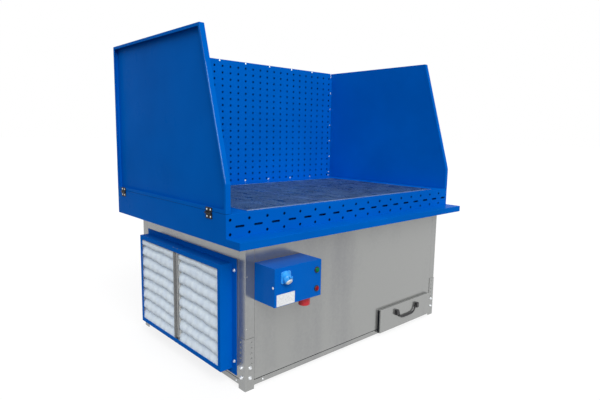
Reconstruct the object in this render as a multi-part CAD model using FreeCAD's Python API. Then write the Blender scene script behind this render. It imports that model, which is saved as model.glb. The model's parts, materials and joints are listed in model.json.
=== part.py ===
import FreeCAD, Part
import math
import os

# Downdraft table: a galvanised cabinet on adjustable angle legs carries a blue sheet-steel tray with lift-out
# grates, two fold-down side panels, a perforated suction wall, a side filter frame, a control box, a dust
# drawer and a plug fan. Millimetres, X to the right, Y to the rear, Z up from the floor. The model is drawn
# with Y = 0 on the front of the cabinet and is moved to the middle of its footprint when it is written.

# Number of flats on round pieces and on small round pieces, which keeps the model light
round_sides = 8
small_sides = 6

# Table tray
table_width = 1700.0
table_depth = 1115.0
rim_height = 818.0
skirt_height = 136.0
front_rim = 32.0
side_rim = 130.0
rear_rim = 130.0
table_sheet = 2.0
shelf_depth = 100.0
shelf_lip = 34.0
tray_floor_overlap = 25.0

# Pattern of round holes and slots in the front fascia
fascia_pitch = 99.0
fascia_margin = 20.0
fascia_hole_radius = 7.0
fascia_top_row_drop = 25.0
fascia_row_spacing = 62.0
fascia_slot_length = 48.0
fascia_slot_height = 10.0

# Grates and their ledges
grate_count = 3
grate_height = 35.0
grate_proud = 2.0
grate_gap = 3.0
grate_bar = 4.0
grate_bar_pitch = 77.0
ledge_sheet = 3.0
ledge_width = 60.0
ledge_rear_width = 45.0
ledge_stiffener = 30.0

# Suction wall
wall_depth = 82.0
wall_sheet = 2.0
wall_side_gap = 2.0
wall_hole = 12.5
wall_pitch_x = 60.8
wall_pitch_z = 41.0
wall_top_margin = 40.0
wall_foot = 22.0
plenum_margin = 30.0

# Side panels
panel_height = 795.0
panel_knee = 125.0
panel_setback = 195.0
panel_depth = 25.0
panel_sheet = 2.0
panel_lip = 15.0
panel_bottom_lip = 17.0
panel_seam = 1.0
panel_proud = 0.4

# Hinges of the side panels
hinge_length = 50.0
hinge_leaf = 25.0
hinge_plate = 3.0
hinge_barrel_radius = 5.0
hinge_clearance = 0.5
hinge_pin_radius = 2.4
pin_clearance = 0.05
hinge_drop = 8.0
hinge_front_inset = 128.0
hinge_rear_inset = 85.0

# Cabinet
cabinet_inset = 100.0
cabinet_depth = 1010.0
cabinet_bottom = 15.0
cabinet_sheet = 2.0
post_width = 50.0
panel_gap = 0.5
base_strip = 28.0
base_upstand = 45.0
top_flange = 25.0
leg_sheet = 3.0
leg_height = 245.0

# Filter frame and cells
filter_margin = 100.0
filter_bottom = 76.0
filter_top_gap = 106.0
filter_depth = 66.0
filter_sheet = 2.0
filter_lip = 22.0
filter_flange_clearance = 15.0
filter_flange_top = 24.0
filter_bar_width = 38.0
filter_bar_depth = 18.0
filter_recess = 3.0
filter_window_margin = 36.0
cell_sheet = 2.0
pleat_count = 8
pleat_depth = 34.0
media_thickness = 4.0
seat_gap = 0.3

# Control box with its buttons, socket and inlet
box_width = 275.0
box_height = 170.0
box_depth = 140.0
box_drop = 92.0
box_sheet = 1.5
button_inset = 29.0
button_drop = 45.0
button_spacing = 87.0
button_bezel_radius = 14.5
button_bezel_height = 5.0
button_cap_radius = 10.0
button_cap_proud = 4.0
button_travel = 4.0
button_clearance = 0.08
button_block = 28.0
button_block_depth = 32.0
button_block_gap = 16.0
socket_inset = 60.0
socket_flange = 54.0
socket_flange_thickness = 4.0
socket_corner = 8.0
socket_radius = 21.0
socket_reach = 20.0
socket_bore_radius = 17.0
socket_bore_depth = 20.0
socket_tilt = 37.0
socket_stub = 14.0
lid_radius = 20.0
lid_thickness = 5.0
lid_boss_radius = 14.0
lid_boss_height = 4.0
lid_pin_radius = 1.5
lid_pin_lift = 4.0
lid_knuckle = 2.2
lid_lug = 8.0
lid_ear = 3.0
lid_ear_gap = 0.3
inlet_inset = 55.0
inlet_forward = 88.0
inlet_flange = 64.0
inlet_flange_thickness = 4.0
inlet_radius = 27.0
inlet_wall = 3.0
inlet_length = 46.0
inlet_core_radius = 18.0
inlet_core_length = 28.0
inlet_pin_width = 5.0
inlet_pin_length = 14.0
inlet_pin_count = 5
rail_height = 35.0
rail_depth = 7.5
contactor_width = 100.0
contactor_height = 95.0
contactor_depth = 62.0

# Dust drawer with its hanging handle
drawer_left = 187.0
drawer_width = 495.0
drawer_bottom = 22.0
drawer_front_height = 138.0
drawer_front_depth = 17.0
drawer_front_gap = 2.0
drawer_corner = 9.0
drawer_sheet = 1.5
drawer_side_inset = 20.0
drawer_tray_height = 106.0
drawer_tray_depth = 600.0
drawer_floor_gap = 0.4
drawer_opening_gap = 6.0
runner_height = 40.0
runner_width = 25.0
runner_sheet = 2.0
runner_gap = 0.5
handle_spacing = 200.0
handle_drop = 44.0
handle_foot_width = 22.0
handle_foot_height = 30.0
handle_foot_depth = 16.0
handle_reach = 46.0
handle_bar = 9.0
handle_taper = 14.0
handle_pin_radius = 3.5
handle_gap = 0.5

# Air path inside the cabinet
partition_x = -170.0
partition_sheet = 2.0
hopper_top = 340.0
hopper_sheet = 1.5
hopper_outlet_inset = 8.0
hopper_clearance = 0.5
hopper_drop_gap = 8.0
baffle_width = 340.0
baffle_depth = 80.0
baffle_bottom = 348.0
baffle_top_gap = 62.0
fan_drop = 212.0
fan_inlet_radius = 120.0
fan_throat_radius = 104.0
fan_cone_flange = 150.0
fan_cone_length = 34.0
fan_cone_sheet = 2.0
impeller_radius = 180.0
impeller_eye_radius = 112.0
impeller_width = 100.0
impeller_sheet = 4.0
impeller_overlap = 6.0
blade_count = 7
blade_length = 66.0
blade_angle = 50.0
blade_start = 0.92
hub_radius = 32.0
hub_length = 28.0
shaft_radius = 12.0
shaft_clearance = 0.05
motor_radius = 90.0
motor_length = 215.0
motor_gap = 12.0
motor_foot_width = 150.0
motor_foot_height = 24.0
motor_stand_sheet = 4.0
motor_stand_margin = 12.0
shaft_in_motor = 60.0
terminal_box = 70.0
terminal_height = 45.0

# Values worked out from the driving dimensions
half_width = table_width / 2
underside = rim_height - skirt_height
shelf_top = underside + shelf_lip
wall_front = table_depth - wall_depth
opening_half = half_width - side_rim
opening_rear = wall_front - rear_rim
panel_base = rim_height + panel_seam
panel_top = panel_base + panel_height
panel_outer = half_width + panel_proud
panel_inner = panel_outer - panel_depth
wall_half = panel_inner - wall_side_gap
hinge_axis_z = rim_height - hinge_drop
hinge_axis_x = half_width + hinge_barrel_radius + hinge_clearance
cabinet_half = half_width - cabinet_inset
cabinet_inside = cabinet_half - cabinet_sheet
cabinet_top = underside
panel_bottom = cabinet_bottom + base_strip
floor_top = cabinet_bottom + cabinet_sheet
ledge_top = rim_height + grate_proud - grate_height
filter_middle = cabinet_depth / 2
filter_width = cabinet_depth - 2 * filter_margin
filter_flange_side = filter_margin - post_width - filter_flange_clearance
filter_height = cabinet_top - filter_top_gap - filter_bottom
fan_height = cabinet_top - fan_drop
baffle_top = cabinet_top - baffle_top_gap
box_bottom = cabinet_top - box_drop - box_height
box_left = -cabinet_half + post_width
box_front = -box_depth
button_x = box_left + box_width - button_inset
button_top_z = box_bottom + box_height - button_drop
socket_x = box_left + socket_inset
drawer_right = drawer_left + drawer_width
drawer_face = -(drawer_front_gap + drawer_front_depth)
tray_left = drawer_left + drawer_side_inset
tray_right = drawer_right - drawer_side_inset
tray_bottom = floor_top + drawer_floor_gap
tray_top = tray_bottom + drawer_tray_height
handle_x = (drawer_left + drawer_right) / 2
handle_z = drawer_bottom + drawer_front_height - handle_drop
handle_y = drawer_face - handle_foot_depth / 2
impeller_front = partition_x - fan_cone_length + impeller_overlap
impeller_back = impeller_front - impeller_width - 2 * impeller_sheet
motor_front = impeller_back - hub_length - motor_gap
tilt = math.radians(socket_tilt)
socket_axis = FreeCAD.Vector(0, -math.cos(tilt), -math.sin(tilt))
socket_up = FreeCAD.Vector(0, -math.sin(tilt), math.cos(tilt))
socket_face = FreeCAD.Vector(socket_x, box_front - socket_flange_thickness, button_top_z)
socket_end = socket_face + socket_axis * socket_reach
lid_pin = socket_end + socket_up * (lid_radius + lid_pin_lift) + socket_axis * (lid_thickness / 2)
lid_top = lid_radius + lid_pin_lift + lid_knuckle
front_reach = (socket_end + socket_axis * lid_thickness + socket_up * lid_top).y
footprint_middle = (table_depth + front_reach) / 2


# Basic solids
def vec(x, y, z):
    return FreeCAD.Vector(x, y, z)


def box(x, y, z):
    """Block between two X values, two Y values and two Z values."""
    return Part.makeBox(x[1] - x[0], y[1] - y[0], z[1] - z[0], vec(x[0], y[0], z[0]))


def ring_points(radius, centre, axis, sides):
    """Corners of a regular polygon square to an axis."""
    across = vec(1, 0, 0)
    if abs(axis.x) > axis.Length / 2:
        across = vec(0, 1, 0)
    upward = axis.cross(across).normalize()
    points = []
    for side in range(sides):
        angle = 2 * math.pi * (side + 0.5) / sides
        points.append(centre + across * (radius * math.cos(angle)) + upward * (radius * math.sin(angle)))
    return points


def rod(radius, start, along, sides=round_sides):
    """Round bar from a start point along a vector, drawn with flats."""
    return plate(ring_points(radius, start, along, sides), along)


def bore(radius, start, along, sides=round_sides):
    """Cutter whose flats lie outside a radius, so that a bar of that radius can turn in the hole."""
    return rod(radius / math.cos(math.pi / sides), start, along, sides)


def frustum(low, high):
    """Solid between two outlines with the same number of corners, with flat sides."""
    faces = [Part.Face(Part.makePolygon(outline + outline[:1])) for outline in (low, high)]
    for index in range(len(low)):
        after = (index + 1) % len(low)
        side = [low[index], low[after], high[after], high[index]]
        faces.append(Part.Face(Part.makePolygon(side + side[:1])))
    solid = Part.Solid(Part.Shell(faces))
    if solid.Volume < 0:
        solid.reverse()
    return solid


def plate(points, along):
    """Flat polygon pushed along a vector."""
    return Part.Face(Part.makePolygon(points + points[:1])).extrude(along)


def join(shapes):
    """One solid from pieces that are welded or moulded together."""
    return shapes[0].multiFuse(shapes[1:]).removeSplitter()


def group(shapes):
    """Several separate solids that share one node."""
    return Part.makeCompound(shapes)


def mirrored(shape):
    """The same piece on the other side of the table."""
    return shape.mirror(vec(0, 0, 0), vec(1, 0, 0))


def front_polygon(x, z, points, y, depth):
    """Cutter with an outline drawn on the front, centred on x and z."""
    outline = [vec(x + dx, y, z + dz) for dx, dz in points]
    return plate(outline, vec(0, depth, 0))


# Table tray
def slot_outline(length, height):
    """Six-cornered slot; a hole is a slot as long as it is high."""
    end = height / 2
    straight = length / 2 - end
    corner = end / math.sqrt(3)
    upper = [(straight + end * 2 / math.sqrt(3), 0), (straight + corner, end), (-straight - corner, end)]
    return upper + [(-x, -z) for x, z in upper]


def fascia_cutters():
    """Pairs of round holes with a slot between each pair and the next, centred on the fascia."""
    room = table_width - 2 * fascia_margin - fascia_slot_length / 2
    count = int(room / fascia_pitch + 0.5)
    span = (count - 0.5) * fascia_pitch + fascia_slot_length / 2
    hole = slot_outline(2 * fascia_hole_radius, 2 * fascia_hole_radius)
    slot = slot_outline(fascia_slot_length, fascia_slot_height)
    top_row = rim_height - fascia_top_row_drop
    cutters = []
    for index in range(count):
        x = index * fascia_pitch - span / 2
        cutters.append(front_polygon(x, top_row, hole, 0, table_sheet))
        cutters.append(front_polygon(x, top_row - fascia_row_spacing, hole, 0, table_sheet))
        slot_z = top_row - fascia_row_spacing / 2
        cutters.append(front_polygon(x + fascia_pitch / 2, slot_z, slot, 0, table_sheet))
    return cutters


def make_table_frame():
    """Welded tray: fascia, skirts, rim, floor over the cabinet, and the tool shelf with its lip."""
    outer = half_width
    inner = half_width - table_sheet
    tray = box((-outer, outer), (0, table_depth), (underside, rim_height))
    shelf = box((-outer, outer), (-shelf_depth, table_sheet), (underside, shelf_top))
    hollow = box(
        (-inner, inner),
        (table_sheet, table_depth - table_sheet),
        (underside + table_sheet, rim_height - table_sheet),
    )
    under_shelf = box((-inner, inner), (table_sheet - shelf_depth, 0), (underside, shelf_top - table_sheet))
    rim_opening = box(
        (-opening_half, opening_half), (front_rim, opening_rear), (rim_height - table_sheet, rim_height)
    )
    plenum = box(
        (-wall_half + plenum_margin, wall_half - plenum_margin),
        (wall_front + plenum_margin, table_depth - plenum_margin),
        (rim_height - table_sheet, rim_height),
    )
    floor_opening = box(
        (partition_x + tray_floor_overlap, cabinet_half - tray_floor_overlap),
        (tray_floor_overlap, cabinet_depth - tray_floor_overlap),
        (underside, underside + table_sheet),
    )
    cutters = [hollow, under_shelf, rim_opening, plenum, floor_opening] + fascia_cutters()
    return join([tray, shelf]).cut(group(cutters))


def make_front_ledge():
    """Angle behind the fascia that carries the front ends of the grates."""
    inner = half_width - table_sheet
    back = table_sheet + ledge_width
    shelf = box((-inner, inner), (table_sheet, back), (ledge_top - ledge_sheet, ledge_top))
    stiffener = box(
        (-inner, inner), (back - ledge_sheet, back), (ledge_top - ledge_stiffener, ledge_top - ledge_sheet)
    )
    return join([shelf, stiffener])


def make_rear_ledge():
    """Angle under the rear rim that carries the rear ends of the grates."""
    inner = half_width - table_sheet
    back = opening_rear + ledge_sheet
    shelf = box((-inner, inner), (back - ledge_rear_width, back), (ledge_top - ledge_sheet, ledge_top))
    upright = box((-inner, inner), (opening_rear, back), (ledge_top, rim_height - table_sheet))
    return join([shelf, upright])


def make_grate(index):
    """Lift-out grate: bearing bars from front to rear between two end bars."""
    width = (2 * opening_half - (grate_count + 1) * grate_gap) / grate_count
    left = -opening_half + grate_gap + index * (width + grate_gap)
    front = front_rim + grate_gap
    rear = opening_rear - grate_gap
    tall = (ledge_top, ledge_top + grate_height)
    cells = round((width - grate_bar) / grate_bar_pitch)
    pitch = (width - grate_bar) / cells
    bars = [
        box((left, left + width), (front, front + grate_bar), tall),
        box((left, left + width), (rear - grate_bar, rear), tall),
    ]
    for bar in range(cells + 1):
        x = left + bar * pitch
        bars.append(box((x, x + grate_bar), (front, rear), tall))
    return join(bars)


# Suction wall
def make_wall_face():
    """Perforated front of the suction wall, folded back on three sides, with a foot on the rim."""
    rear = table_depth - wall_sheet
    outer = box((-wall_half, wall_half), (wall_front, rear), (rim_height, panel_top))
    hollow = box(
        (-wall_half + wall_sheet, wall_half - wall_sheet),
        (wall_front + wall_sheet, rear),
        (rim_height + wall_sheet, panel_top - wall_sheet),
    )
    foot_cut = box(
        (-wall_half + wall_sheet, wall_half - wall_sheet),
        (wall_front + wall_foot, rear),
        (rim_height, rim_height + wall_sheet),
    )
    columns = int(2 * wall_half / wall_pitch_x)
    rows = int((panel_top - wall_top_margin - rim_height - wall_hole) / wall_pitch_z) + 1
    side = wall_hole / 2
    holes = []
    for row in range(rows):
        z = panel_top - wall_top_margin - row * wall_pitch_z
        for column in range(columns):
            x = (column - (columns - 1) / 2) * wall_pitch_x
            holes.append(
                box((x - side, x + side), (wall_front, wall_front + wall_sheet), (z - side, z + side))
            )
    return outer.cut(group([hollow, foot_cut] + holes))


def make_wall_back():
    """Plain sheet that closes the suction wall behind."""
    return box((-wall_half, wall_half), (table_depth - wall_sheet, table_depth), (rim_height, panel_top))


# Side panels
def panel_outline(inset):
    """Face of the left panel's outline, drawn in by an inset."""
    knee = panel_base + panel_knee
    points = [
        vec(-panel_outer, 0, panel_base),
        vec(-panel_outer, 0, knee),
        vec(-panel_outer, panel_setback, panel_top),
        vec(-panel_outer, table_depth, panel_top),
        vec(-panel_outer, table_depth, panel_base),
    ]
    face = Part.Face(Part.makePolygon(points + points[:1]))
    if inset:
        return face.makeOffset2D(-inset, 2)
    return face


def make_left_panel():
    """Pan with its skin on the inside, flanges outwards and lips turned back over the rim of the pan."""
    pan = panel_outline(0).extrude(vec(panel_depth, 0, 0))
    hollow = panel_outline(panel_sheet).extrude(vec(panel_depth - 2 * panel_sheet, 0, 0))
    hollow.translate(vec(panel_sheet, 0, 0))
    window = panel_outline(panel_lip).extrude(vec(panel_sheet, 0, 0))
    bottom_lip = box(
        (-panel_outer, -panel_outer + panel_sheet),
        (0, table_depth),
        (panel_base, panel_base + panel_bottom_lip),
    )
    return pan.cut(group([hollow, window.cut(bottom_lip)]))


# Hinges
def hinge_knuckle(start, length):
    """Barrel of a hinge leaf and the cutter for its pin."""
    centre = vec(-hinge_axis_x, start, hinge_axis_z)
    barrel = rod(hinge_barrel_radius, centre, vec(0, length, 0), small_sides)
    return barrel, bore(hinge_pin_radius + pin_clearance, centre, vec(0, length, 0), small_sides)


def hinge_starts():
    """Front end of each hinge on one side of the table."""
    return [
        hinge_front_inset - hinge_length / 2,
        table_depth - hinge_rear_inset - hinge_length / 2,
    ]


def make_leaf(start, knuckle_start, face, side):
    """Leaf on one side of the axis with a knuckle over half the hinge; side is 1 above the axis."""
    knuckle = hinge_length / 2 - hinge_clearance
    reach = hinge_barrel_radius + hinge_clearance
    x = (-face - hinge_plate, -face)
    leaf_z = sorted((hinge_axis_z + side * reach, hinge_axis_z + side * hinge_leaf))
    leaf = box(x, (start, start + hinge_length), leaf_z)
    arm_z = sorted((hinge_axis_z, hinge_axis_z + side * reach))
    arm = box(x, (knuckle_start, knuckle_start + knuckle), arm_z)
    barrel, hole = hinge_knuckle(knuckle_start, knuckle)
    return join([leaf, arm, barrel]).cut(hole)


def make_fixed_leaf(start):
    """Lower leaf on the skirt, with its knuckle in front."""
    return make_leaf(start, start, half_width, -1)


def make_moving_leaf(start):
    """Upper leaf on the bottom lip of the panel, with its knuckle behind the fixed one."""
    return make_leaf(start, start + hinge_length / 2 + hinge_clearance, panel_outer, 1)


def make_hinge_pin(start):
    centre = vec(-hinge_axis_x, start, hinge_axis_z)
    return rod(hinge_pin_radius, centre, vec(0, hinge_length, 0), small_sides)


# Cabinet
def corner_angle(width, sheet, outside, bottom, top):
    """Angle on the front left corner; outside is how far its faces stand in front of the cabinet."""
    x = -cabinet_half - outside
    y = -outside
    outline = [
        vec(x, y, bottom),
        vec(x + width, y, bottom),
        vec(x + width, y + sheet, bottom),
        vec(x + sheet, y + sheet, bottom),
        vec(x + sheet, y + width, bottom),
        vec(x, y + width, bottom),
    ]
    return plate(outline, vec(0, 0, top - bottom))


def at_corner(shape, right, rear):
    """The front left piece carried to another corner."""
    if right:
        shape = mirrored(shape)
    if rear:
        shape = shape.mirror(vec(0, cabinet_depth / 2, 0), vec(0, 1, 0))
    return shape


def make_post():
    return corner_angle(post_width, cabinet_sheet, 0, cabinet_bottom, cabinet_top)


def make_leg():
    return corner_angle(post_width, leg_sheet, leg_sheet, 0, leg_height)


def drawer_opening(y):
    """Space through the front of the cabinet for the drawer tray."""
    return box(
        (tray_left - drawer_opening_gap, tray_right + drawer_opening_gap),
        y,
        (floor_top, tray_top + drawer_opening_gap),
    )


def make_base_pan():
    """Floor pan whose upstands carry the cabinet panels."""
    x = (-cabinet_inside, cabinet_inside)
    y = (cabinet_sheet, cabinet_depth - cabinet_sheet)
    pan = box(x, y, (cabinet_bottom, cabinet_bottom + base_upstand))
    hollow = box(
        (x[0] + cabinet_sheet, x[1] - cabinet_sheet),
        (y[0] + cabinet_sheet, y[1] - cabinet_sheet),
        (floor_top, cabinet_bottom + base_upstand),
    )
    return pan.cut(group([hollow, drawer_opening((cabinet_sheet, 2 * cabinet_sheet))]))


def long_panel():
    """Sheet between the two front posts with a flange under the tray."""
    reach = cabinet_half - post_width - panel_gap
    sheet = box((-reach, reach), (0, cabinet_sheet), (panel_bottom, cabinet_top))
    flange = box((-reach, reach), (0, top_flange), (cabinet_top - cabinet_sheet, cabinet_top))
    return join([sheet, flange])


def make_front_panel():
    return long_panel().cut(drawer_opening((0, cabinet_sheet)))


def make_rear_panel():
    return long_panel().mirror(vec(0, cabinet_depth / 2, 0), vec(0, 1, 0))


def side_sheet():
    """Sheet between the posts on the left side with a flange under the tray."""
    y = (post_width + panel_gap, cabinet_depth - post_width - panel_gap)
    sheet = box((-cabinet_half, -cabinet_inside), y, (panel_bottom, cabinet_top))
    flange = box(
        (-cabinet_half, -cabinet_half + top_flange), y, (cabinet_top - cabinet_sheet, cabinet_top)
    )
    return join([sheet, flange])


def make_left_side():
    """Left side of the cabinet with the window behind the filters."""
    inset = filter_window_margin
    window = box(
        (-cabinet_half, -cabinet_inside),
        (filter_middle - filter_width / 2 + inset, filter_middle + filter_width / 2 - inset),
        (filter_bottom + inset, filter_bottom + filter_height - inset),
    )
    return side_sheet().cut(window)


def make_right_side():
    return mirrored(side_sheet())


# Filter frame and cells
def filter_section(inset, x):
    """Block with the section of the filter frame, drawn in by an inset."""
    half = filter_width / 2 - inset
    return box(
        x,
        (filter_middle - half, filter_middle + half),
        (filter_bottom + inset, filter_bottom + filter_height - inset),
    )


def make_filter_frame():
    """Folded frame with a flange on the cabinet and a lip that holds the cells."""
    back = -cabinet_half
    front = back - filter_depth
    half = filter_width / 2 + filter_flange_side
    flange = box(
        (back - filter_sheet, back),
        (filter_middle - half, filter_middle + half),
        (filter_bottom - filter_flange_top, filter_bottom + filter_height + filter_flange_top),
    )
    frame = join([flange, filter_section(0, (front, back))])
    hollow = filter_section(filter_sheet, (front + filter_sheet, back))
    window = filter_section(filter_lip, (front, front + filter_sheet))
    return frame.cut(group([hollow, window]))


def make_filter_bar():
    """Channel between the two filter cells, open to the outside."""
    front = -cabinet_half - filter_depth + filter_sheet
    half = filter_bar_width / 2
    z = (filter_bottom + filter_sheet, filter_bottom + filter_height - filter_sheet)
    block = box((front, front + filter_bar_depth), (filter_middle - half, filter_middle + half), z)
    hollow = box(
        (front, front + filter_bar_depth - filter_sheet),
        (filter_middle - half + filter_sheet, filter_middle + half - filter_sheet),
        z,
    )
    return block.cut(hollow)


def cell_span(rear):
    """Y range of one cell between the bar and the end of the frame."""
    near = filter_bar_width / 2 + seat_gap
    far = filter_width / 2 - filter_sheet - seat_gap
    if rear:
        return filter_middle + near, filter_middle + far
    return filter_middle - far, filter_middle - near


def cell_height():
    inset = filter_sheet + seat_gap
    return filter_bottom + inset, filter_bottom + filter_height - inset


def make_cell_frame(rear):
    """Card frame round the pleats of one cell."""
    y = cell_span(rear)
    z = cell_height()
    x = (-cabinet_half - filter_depth + filter_sheet + seat_gap, -cabinet_half - seat_gap)
    block = box(x, y, z)
    hollow = box(x, (y[0] + cell_sheet, y[1] - cell_sheet), (z[0] + cell_sheet, z[1] - cell_sheet))
    return block.cut(hollow)


def make_media(rear):
    """Pleated sheet: crests and valleys in turn, the same shape in front and behind."""
    y = cell_span(rear)
    low, high = cell_height()
    low += cell_sheet
    high -= cell_sheet
    pitch = (high - low) / pleat_count
    crest = -cabinet_half - filter_depth + filter_recess
    front = [vec(crest + pleat_depth, y[0] + cell_sheet, low)]
    for pleat in range(pleat_count):
        base = low + pleat * pitch
        front.append(vec(crest, y[0] + cell_sheet, base + pitch / 2))
        front.append(vec(crest + pleat_depth, y[0] + cell_sheet, base + pitch))
    back = [point + vec(media_thickness, 0, 0) for point in reversed(front)]
    return plate(front + back, vec(0, y[1] - y[0] - 2 * cell_sheet, 0))


# Control box
def make_box_base():
    """Back plate of the control box on the front of the cabinet."""
    return box(
        (box_left, box_left + box_width), (-box_sheet, 0), (box_bottom, box_bottom + box_height)
    )


def make_box_cover():
    """Five-sided cover with holes for the buttons, the socket and the inlet."""
    x = (box_left, box_left + box_width)
    z = (box_bottom, box_bottom + box_height)
    cover = box(x, (box_front, -box_sheet), z)
    hollow = box(
        (x[0] + box_sheet, x[1] - box_sheet),
        (box_front + box_sheet, -box_sheet),
        (z[0] + box_sheet, z[1] - box_sheet),
    )
    through = vec(0, box_sheet, 0)
    cutters = [hollow]
    for button_z in button_heights():
        cutters.append(rod(button_cap_radius + button_clearance, vec(button_x, box_front, button_z), through))
    cutters.append(rod(socket_radius, vec(socket_x, box_front, button_top_z), through))
    inlet_x, inlet_y = inlet_place()
    cutters.append(rod(inlet_core_radius, vec(inlet_x, inlet_y, box_bottom), vec(0, 0, box_sheet)))
    return cover.cut(group(cutters))


def button_heights():
    """Start above, stop below."""
    return button_top_z, button_top_z - button_spacing


def make_bezel(z):
    start = vec(button_x, box_front, z)
    out = vec(0, -button_bezel_height, 0)
    return rod(button_bezel_radius, start, out).cut(rod(button_cap_radius + button_clearance, start, out))


def make_button(z):
    """Cap that slides through the bezel and the cover towards its contact block."""
    front = box_front - button_bezel_height - button_cap_proud
    length = button_bezel_height + button_cap_proud + button_block_gap - button_travel - panel_seam
    return rod(button_cap_radius, vec(button_x, front, z), vec(0, length, 0))


def make_contact_block(z):
    """Switch block behind a button, held on the cover by two side cheeks."""
    half = button_block / 2
    back = box_front + button_block_gap
    block = box((button_x - half, button_x + half), (back, back + button_block_depth), (z - half, z + half))
    cheeks = []
    for side in (-1, 1):
        x = sorted((button_x + side * half, button_x + side * (half - box_sheet)))
        cheeks.append(box(x, (box_front + box_sheet, back), (z - half, z + half)))
    return join([block] + cheeks)


def make_socket():
    """Panel socket: square flange, a barrel that leans down, its bore and two ears for the lid."""
    half = socket_flange / 2
    cut = half - socket_corner
    corner = [(half, cut), (cut, half), (-cut, half), (-half, cut)]
    outline = corner + [(-x, -z) for x, z in corner]
    flange = front_polygon(socket_x, button_top_z, outline, box_front, -socket_flange_thickness)
    stub = rod(socket_radius, vec(socket_x, box_front, button_top_z), vec(0, socket_stub, 0))
    inside = socket_face - socket_axis * socket_flange_thickness
    barrel = rod(socket_radius, inside, socket_end - inside)
    behind = box(
        (socket_x - half, socket_x + half),
        (box_front, box_front + socket_stub + socket_radius),
        (button_top_z - half, button_top_z + half),
    )
    ears = [lid_ear_block(side) for side in (-1, 1)]
    body = join([flange, barrel.cut(behind), stub] + ears)
    hole = rod(socket_bore_radius, socket_end, socket_axis * -socket_bore_depth)
    width = lid_lug + 2 * (lid_ear + lid_ear_gap)
    pin = rod(lid_pin_radius, lid_pin - vec(width / 2, 0, 0), vec(width, 0, 0), small_sides)
    return join([body.cut(hole), pin])


def socket_plate(corners, x, width):
    """Plate across the socket from corners given up from its axis and out from its end."""
    outline = [socket_end + socket_up * up + socket_axis * out for up, out in corners]
    outline = [vec(x, point.y, point.z) for point in outline]
    return plate(outline, vec(width, 0, 0))


def lid_ear_block(side):
    """One of the two ears that hold the lid's pin."""
    low = socket_radius - lid_ear
    step = lid_radius + lid_ear_gap
    out = lid_thickness / 2 + lid_pin_radius
    corners = [(low, -lid_lug), (low, 0), (step, 0), (step, out), (lid_top, out), (lid_top, -lid_ear)]
    return socket_plate(corners, socket_x + side * (lid_lug / 2 + lid_ear_gap), side * lid_ear)


def make_socket_lid():
    """Round lid with a raised middle and a lug on the pin above the socket."""
    start = socket_end + socket_axis * seat_gap
    disc = rod(lid_radius, start, socket_axis * (lid_thickness - seat_gap))
    boss = rod(lid_boss_radius, socket_end + socket_axis * lid_thickness, socket_axis * lid_boss_height)
    low = lid_radius - lid_ear
    corners = [(low, seat_gap), (lid_top, seat_gap), (lid_top, lid_thickness), (low, lid_thickness)]
    half = lid_lug / 2
    lug = socket_plate(corners, socket_x - half, lid_lug)
    hole = bore(lid_pin_radius + pin_clearance, lid_pin - vec(half, 0, 0), vec(lid_lug, 0, 0), small_sides)
    return join([disc, boss, lug]).cut(hole)


def inlet_place():
    return box_left + box_width - inlet_inset, -inlet_forward


def make_inlet():
    """Collar of the appliance inlet under the control box."""
    x, y = inlet_place()
    half = inlet_flange / 2
    top = box_bottom - inlet_flange_thickness
    flange = box((x - half, x + half), (y - half, y + half), (top, box_bottom))
    collar = rod(inlet_radius, vec(x, y, box_bottom), vec(0, 0, -inlet_length))
    well = rod(inlet_radius - inlet_wall, vec(x, y, top), vec(0, 0, inlet_flange_thickness - inlet_length))
    seat = rod(inlet_core_radius, vec(x, y, top), vec(0, 0, inlet_flange_thickness))
    return join([flange, collar]).cut(group([well, seat]))


def make_inlet_core():
    """Insulating core of the inlet with its contact pins, passing through the cover."""
    x, y = inlet_place()
    top = box_bottom + box_sheet
    core = rod(inlet_core_radius - button_clearance, vec(x, y, top), vec(0, 0, -inlet_core_length))
    pins = []
    half = inlet_pin_width / 2
    circle = inlet_core_radius - 2 * inlet_pin_width
    low = top - inlet_core_length
    for index in range(inlet_pin_count):
        angle = 2 * math.pi * index / inlet_pin_count
        pin_x = x + circle * math.cos(angle)
        pin_y = y + circle * math.sin(angle)
        pin_z = (low - inlet_pin_length, low)
        pins.append(box((pin_x - half, pin_x + half), (pin_y - half, pin_y + half), pin_z))
    return join([core] + pins)


def make_rail():
    """Mounting rail on the back plate."""
    z = box_bottom + (box_height - rail_height) / 2
    x = (box_left + button_inset, box_left + box_width - button_inset)
    return box(x, (-box_sheet - rail_depth, -box_sheet), (z, z + rail_height))


def make_contactor():
    """Motor starter on the mounting rail."""
    middle = box_left + box_width / 2
    z = box_bottom + (box_height - contactor_height) / 2
    back = -box_sheet - rail_depth
    return box(
        (middle - contactor_width / 2, middle + contactor_width / 2),
        (back - contactor_depth, back),
        (z, z + contactor_height),
    )


# Dust drawer
def drawer_block(inset, y):
    """Block of the drawer front with its upper corners taken off, drawn in by an inset."""
    x = (drawer_left + inset, drawer_right - inset)
    z = (drawer_bottom + inset, drawer_bottom + drawer_front_height - inset)
    corner = drawer_corner - inset
    third = corner / 3
    right = [(x[1], z[0]), (x[1], z[1] - corner), (x[1] - third, z[1] - third), (x[1] - corner, z[1])]
    left = [(x[0] + corner, z[1]), (x[0] + third, z[1] - third), (x[0], z[1] - corner), (x[0], z[0])]
    return plate([vec(px, y[0], pz) for px, pz in right + left], vec(0, y[1] - y[0], 0))


def make_drawer_front():
    """Front pan, open behind, with rounded upper corners."""
    pan = drawer_block(0, (drawer_face, -drawer_front_gap))
    return pan.cut(drawer_block(drawer_sheet, (drawer_face + drawer_sheet, -drawer_front_gap)))


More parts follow.
